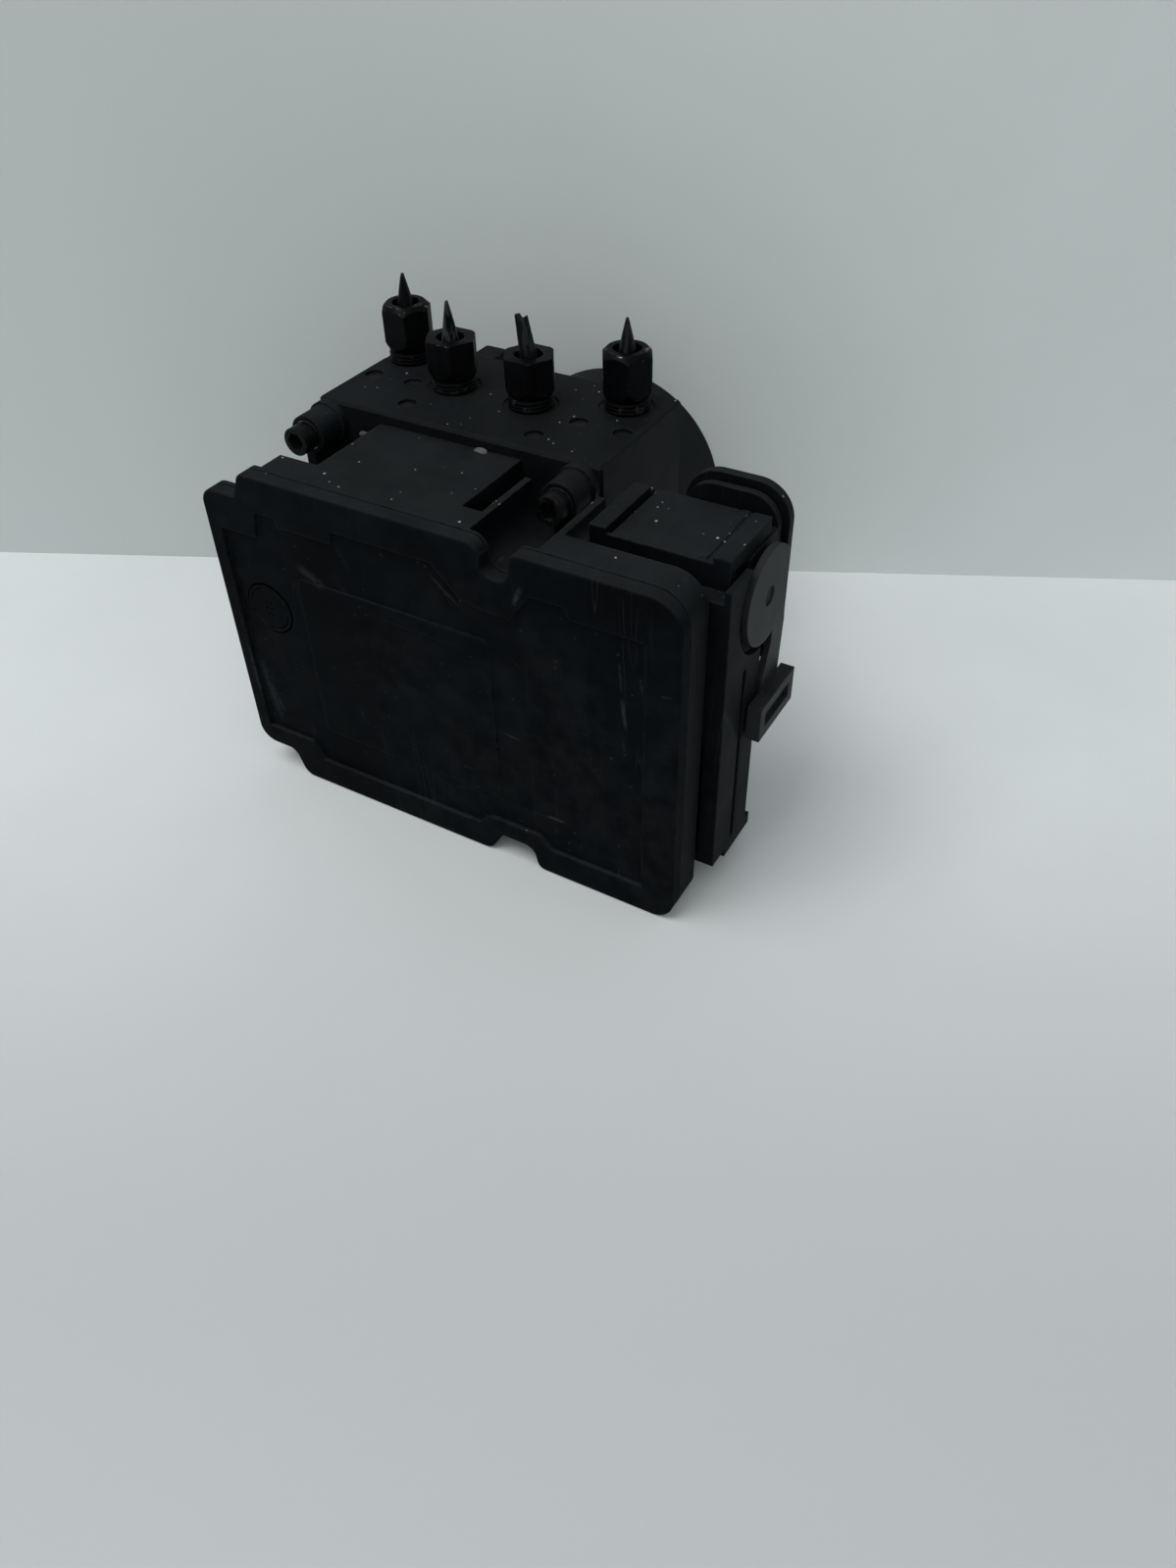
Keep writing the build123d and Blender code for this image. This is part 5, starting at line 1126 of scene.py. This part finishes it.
@dataclass(frozen=True)
class UnitFinishes:
    """Finishes of the control unit, named after their nodes."""

    ecu_lid: Finish = ScuffedCoat(
        "lid_plastic", (0.0013, 0.002, 0.0027), (0.036, 0.039, 0.042), specular=0.02, top_dust_and_light=0.46,
        haze=0.5, specks=0.14, edge=0.2, edge_radius=1.3, breaks=0.45, scratches=0.3,
        strokes=LID_STROKES, shade_marks=(VENT_GAP_SHADE,))
    ecu_housing: Finish = ScuffedCoat(
        "housing_plastic", (0.002, 0.0027, 0.0034), (0.045, 0.048, 0.05), roughness=0.55,
        specular=0.04, top_dust_and_light=0.36, haze=0.35, edge=0.3, edge_radius=0.7, breaks=0.45,
        scratches=0.22, strokes=HOUSING_SCRATCH_AND_HIGHLIGHT_STROKES)
    vent_cap: Finish = ScuffedCoat(
        "vent_plastic", (0.0013, 0.002, 0.0027), (0.03, 0.032, 0.034), specular=0.02,
        specks=0.02, top_dust_and_light=0.1, shade_marks=VENT_SHADE_MARKS)
    ecu_screws: Finish = ChippedSteel(
        "black_screw", (0.0015, 0.0017, 0.002), chips=0.15, breaks=0.85)
    housing_seal: Finish = ScuffedCoat(
        "seal_rubber", (0.004, 0.004, 0.004), (0.01, 0.01, 0.01), roughness=0.8, top_dust_and_light=0.1)
    screw_sleeves: Finish = InnerFinish(
        "sleeve_steel", (0.4, 0.41, 0.42), (0.55, 0.56, 0.57), 1.0, 0.35)
    circuit_board: Finish = InnerFinish(
        "board_resin", (0.005, 0.055, 0.022), (0.02, 0.11, 0.045), 0.0, 0.45, (1.0, 0.0, 0.6),
        2600.0)
    board_components: Finish = InnerFinish(
        "board_packages", (0.012, 0.012, 0.013), (0.03, 0.03, 0.032), 0.0, 0.55)
    connector_pins: Finish = InnerFinish("pin_tin", (0.6, 0.58, 0.5), (0.72, 0.7, 0.64), 1.0, 0.3)


class ControlUnit(Assembly):
    """Lid, coil housing with the connector tower, screws and the board inside."""

    def build(self) -> None:
        """Dresses the unit."""
        looks = UnitFinishes()
        for field in fields(looks):
            self.dress(getattr(looks, field.name), field.name)


@dataclass(frozen=True)
class PlugFinishes:
    """Finishes of the loom plug."""

    body: Finish = ScuffedCoat(
        "plug_plastic", (0.002, 0.0026, 0.0032), (0.04, 0.043, 0.045), roughness=0.5, top_dust_and_light=0.3,
        specks=0.03, edge=0.35)
    lever: Finish = ScuffedCoat(
        "lever_plastic", (0.0095, 0.0105, 0.0112), (0.05, 0.053, 0.055), roughness=0.5,
        specular=0.1, top_dust_and_light=0.15, specks=0.03, edge=0.35)


class LoomPlug(Assembly):
    """Loom plug, its wire cover and its locking lever."""

    def build(self) -> None:
        """Dresses the plug."""
        looks = PlugFinishes()
        self.dress(looks.body, "plug_body", "plug_cover")
        self.dress(looks.lever, "plug_lever")


ALONG_MOTOR = (0.0, 1.0, 0.0)


@dataclass(frozen=True)
class MotorFinishes:
    """Finishes of the pump motor and pump."""

    can: Finish = ScuffedCoat(
        "motor_coating", (0.0025, 0.0032, 0.0039), (0.05, 0.053, 0.056), roughness=0.5,
        specular=0.07, top_dust_and_light=0.14, haze=0.2, specks=0.03, edge=0.35, grain=1900.0, bump=0.22,
        scratches=0.14)
    screws: Finish = ChippedSteel("motor_screw", (0.003, 0.0034, 0.004), chips=0.5)
    plate: Finish = InnerFinish(
        "pressed_steel", (0.3, 0.31, 0.32), (0.42, 0.43, 0.44), 1.0, 0.4)
    turned: Finish = InnerFinish(
        "turned_steel", (0.5, 0.5, 0.51), (0.62, 0.62, 0.63), 1.0, 0.3, ALONG_MOTOR, 9000.0)
    magnet: Finish = InnerFinish(
        "ferrite", (0.02, 0.02, 0.022), (0.045, 0.045, 0.048), 0.0, 0.7)
    core: Finish = InnerFinish(
        "stacked_core", (0.12, 0.12, 0.125), (0.25, 0.25, 0.26), 1.0, 0.45, ALONG_MOTOR, 12000.0)
    copper: Finish = InnerFinish(
        "copper", (0.55, 0.22, 0.09), (0.72, 0.33, 0.16), 1.0, 0.32, ALONG_MOTOR, 9000.0)
    card: Finish = InnerFinish(
        "natural_plastic", (0.42, 0.38, 0.29), (0.5, 0.46, 0.37), 0.0, 0.5)
    carbon: Finish = InnerFinish("carbon", (0.02, 0.02, 0.022), (0.05, 0.05, 0.055), 0.0, 0.6)
    brass: Finish = InnerFinish("brass", (0.6, 0.42, 0.17), (0.7, 0.52, 0.25), 1.0, 0.3)


class PumpMotor(Assembly):
    """Motor, pump and the pieces inside them."""

    def build(self) -> None:
        """Dresses the motor, the pump and the valves."""
        looks = MotorFinishes()
        self.dress(looks.can, "motor_can")
        self.dress(looks.screws, "motor_screws")
        self.dress(looks.plate, "motor_end_plate", *matching("coil_yokes"))
        turned = ["motor_shaft", "eccentric_ring", "front_bearing", "rear_bearing"]
        for word in ("piston", "plunger", "cartridges", "spring"):
            turned += matching(word)
        self.dress(looks.turned, *turned)
        self.dress(looks.magnet, "motor_magnets")
        self.dress(looks.core, "armature")
        self.dress(looks.copper, "commutator", *matching("valve_coils"))
        self.dress(looks.card, "brush_card", "terminal_sleeve")
        self.dress(looks.carbon, "brushes")
        self.dress(looks.brass, "motor_terminals")


class Grime(Assembly):
    """Crumbs of dried dirt that lie in the hollows between the housing and the block."""

    crumbs: tuple[GrimeLump, ...] = (
        GrimeLump("crumb_middle", (9.7, -23.4, 101.8), (2.1, 0.9, 0.9), 3),
        GrimeLump("crumb_left", (-29.6, -23.1, 97.6), (1.5, 0.8, 0.8), 8),
    )

    def build(self) -> None:
        """Adds the crumbs."""
        dirt = InnerFinish("dried_dirt", (0.035, 0.036, 0.034), (0.13, 0.135, 0.13), 0.0, 0.85)
        pale = dirt.material(self.effects)
        for crumb in self.crumbs:
            self.fit(crumb.build(), pale, "housing_plastic")


# ---- studio ----
MODULE_MIDDLE = (0.01, 0.0, 0.05)
LAMP_UP = (0.0, 1.0, 0.05)
SKY = (0.93, 0.97, 1.0, 1.0)


def unit(vector: np.ndarray) -> np.ndarray:
    """Scales a vector to length 1.

    Args:
        vector: the vector.

    Returns:
        Its direction.
    """
    return vector / np.linalg.norm(vector)


def put(data: bpy.types.ID, *columns: np.ndarray) -> bpy.types.Object:
    """Adds a camera or a lamp to the scene.

    Args:
        data: its data, whose name it takes.
        columns: its X, Y and Z axes and its place.

    Returns:
        The object.
    """
    axes = np.eye(4)
    axes[:3] = np.stack(columns, axis=1)
    item = bpy.data.objects.new(data.name, data)
    bpy.context.scene.collection.objects.link(item)
    item.matrix_world = Matrix(axes.tolist())
    return item


@dataclass(frozen=True)
class Camera:
    """Camera that looks down on the module from its front right, in millimetres and degrees."""

    place: Point = (180.3, -259.0, 245.4)
    yaw: float = 30.87
    pitch: float = 42.0
    roll: float = 1.42
    focal_px: float = 1221.73
    height_px: float = 1599.0
    sensor: float = 36.0

    def build(self) -> None:
        """Makes the camera and sets it as the scene's.

        Forward = (-sin yaw cos pitch, cos yaw cos pitch, -sin pitch). The camera's axes are right,
        up and -forward, turned by the roll about forward.
        """
        yaw, pitch, roll = np.radians((self.yaw, self.pitch, self.roll))
        ahead = np.cos(pitch)
        forward = np.array((-np.sin(yaw) * ahead, np.cos(yaw) * ahead, -np.sin(pitch)))
        level = np.array((np.cos(yaw), np.sin(yaw), 0.0))
        down = np.cross(forward, level)
        right = np.cos(roll) * level + np.sin(roll) * down
        below = np.cos(roll) * down - np.sin(roll) * level
        data = bpy.data.cameras.new("camera")
        data.sensor_fit = "VERTICAL"
        data.sensor_height = self.sensor
        data.lens = self.focal_px * self.sensor / self.height_px
        data.clip_start = 0.01
        place = np.array(self.place) * MM
        bpy.context.scene.camera = put(data, right, -below, -forward, place)


@dataclass(frozen=True)
class Softbox:
    """A square area lamp that points at the module, in metres and watts."""

    name: str
    place: Point
    size: float
    power: float

    def build(self) -> None:
        """Makes the lamp; its -Z axis runs from its place to the module's middle."""
        data = bpy.data.lights.new(self.name, "AREA")
        data.size = self.size
        data.energy = self.power
        back = unit(np.array(self.place) - np.array(MODULE_MIDDLE))
        side = unit(np.cross(LAMP_UP, back))
        put(data, side, np.cross(back, side), back, np.array(self.place))


@dataclass(frozen=True)
class Studio:
    """Pale floor and pale wall behind, both with painted shade, soft lamps and an even world."""

    wall_left: Point = (-0.2327, -0.0181, 0.0)
    wall_right: Point = (0.1755, 0.1777, 0.0)
    reach: float = 3.0
    world: float = 0.5

    def build(self, effects: Effects) -> None:
        """Makes floor, wall, lamps and world.

        Args:
            effects: shared effects.
        """
        bpy.context.scene.view_settings.view_transform = "Standard"
        self._backdrop(effects)
        Softbox("key_lamp", (-0.35, -0.6, 1.5), 0.9, 12.0).build()
        Softbox("fill_lamp", (0.9, -1.2, 1.0), 1.4, 2.5).build()
        world = bpy.data.worlds.new("even_world")
        world.use_nodes = True
        sky = world.node_tree.nodes["Background"]
        sky.inputs["Color"].default_value = SKY
        sky.inputs["Strength"].default_value = self.world
        bpy.context.scene.world = world

    def _backdrop(self, effects: Effects) -> None:
        """Makes the floor, middle + u along + w outward, and the wall, middle + u along + v up.

        Args:
            effects: shared effects.
        """
        start, end = np.array(self.wall_left), np.array(self.wall_right)
        along = unit(end - start)
        outward = np.array((along[1], -along[0], 0.0))
        middle = (start + end) / 2
        u = np.linspace(-self.reach, self.reach, 13)[:, None, None]
        v = np.linspace(0.0, self.reach, 7)[None, :, None]
        floor = middle + u * along + (2 * v - self.reach) * outward
        wall = middle + u * along + v * np.array((0.0, 0.0, 1.0))
        line, facing = tuple(middle.tolist()), tuple(outward.tolist())
        leftward = tuple((-along).tolist())
        # Painted shade: the floor darkens towards the camera, the wall towards the left.
        floor_with_painted_shade = PaleSurface(
            "floor_with_painted_shade", (0.77, 0.8, 0.8), 0.45, 0.7, (0.1, 0.3), line, facing)
        wall_with_painted_shade = PaleSurface(
            "wall_with_painted_shade", (0.7, 0.745, 0.735), 0.6, 0.84, (-0.12, 0.14), line, leftward)
        pieces = (("floor", floor[::-1], floor_with_painted_shade), ("wall", wall, wall_with_painted_shade))
        for name, points, paint in pieces:
            piece = grid_mesh(name, points, Edges.SHEET, Shading.FLAT)
            piece.data.materials.append(paint.material(effects))


def main() -> None:
    """Builds the sub-assemblies in order, then the studio, and notes the sizes."""
    logging.basicConfig(level=logging.INFO, format="%(name)s %(message)s")
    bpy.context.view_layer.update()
    Camera().build()
    effects = Effects()
    for assembly in (HydraulicBlock, ControlUnit, LoomPlug, PumpMotor, Grime):
        assembly(effects).build()
        LOG.info("%s done", assembly.__name__)
    Studio().build(effects)


if __name__ == "__main__":
    main()
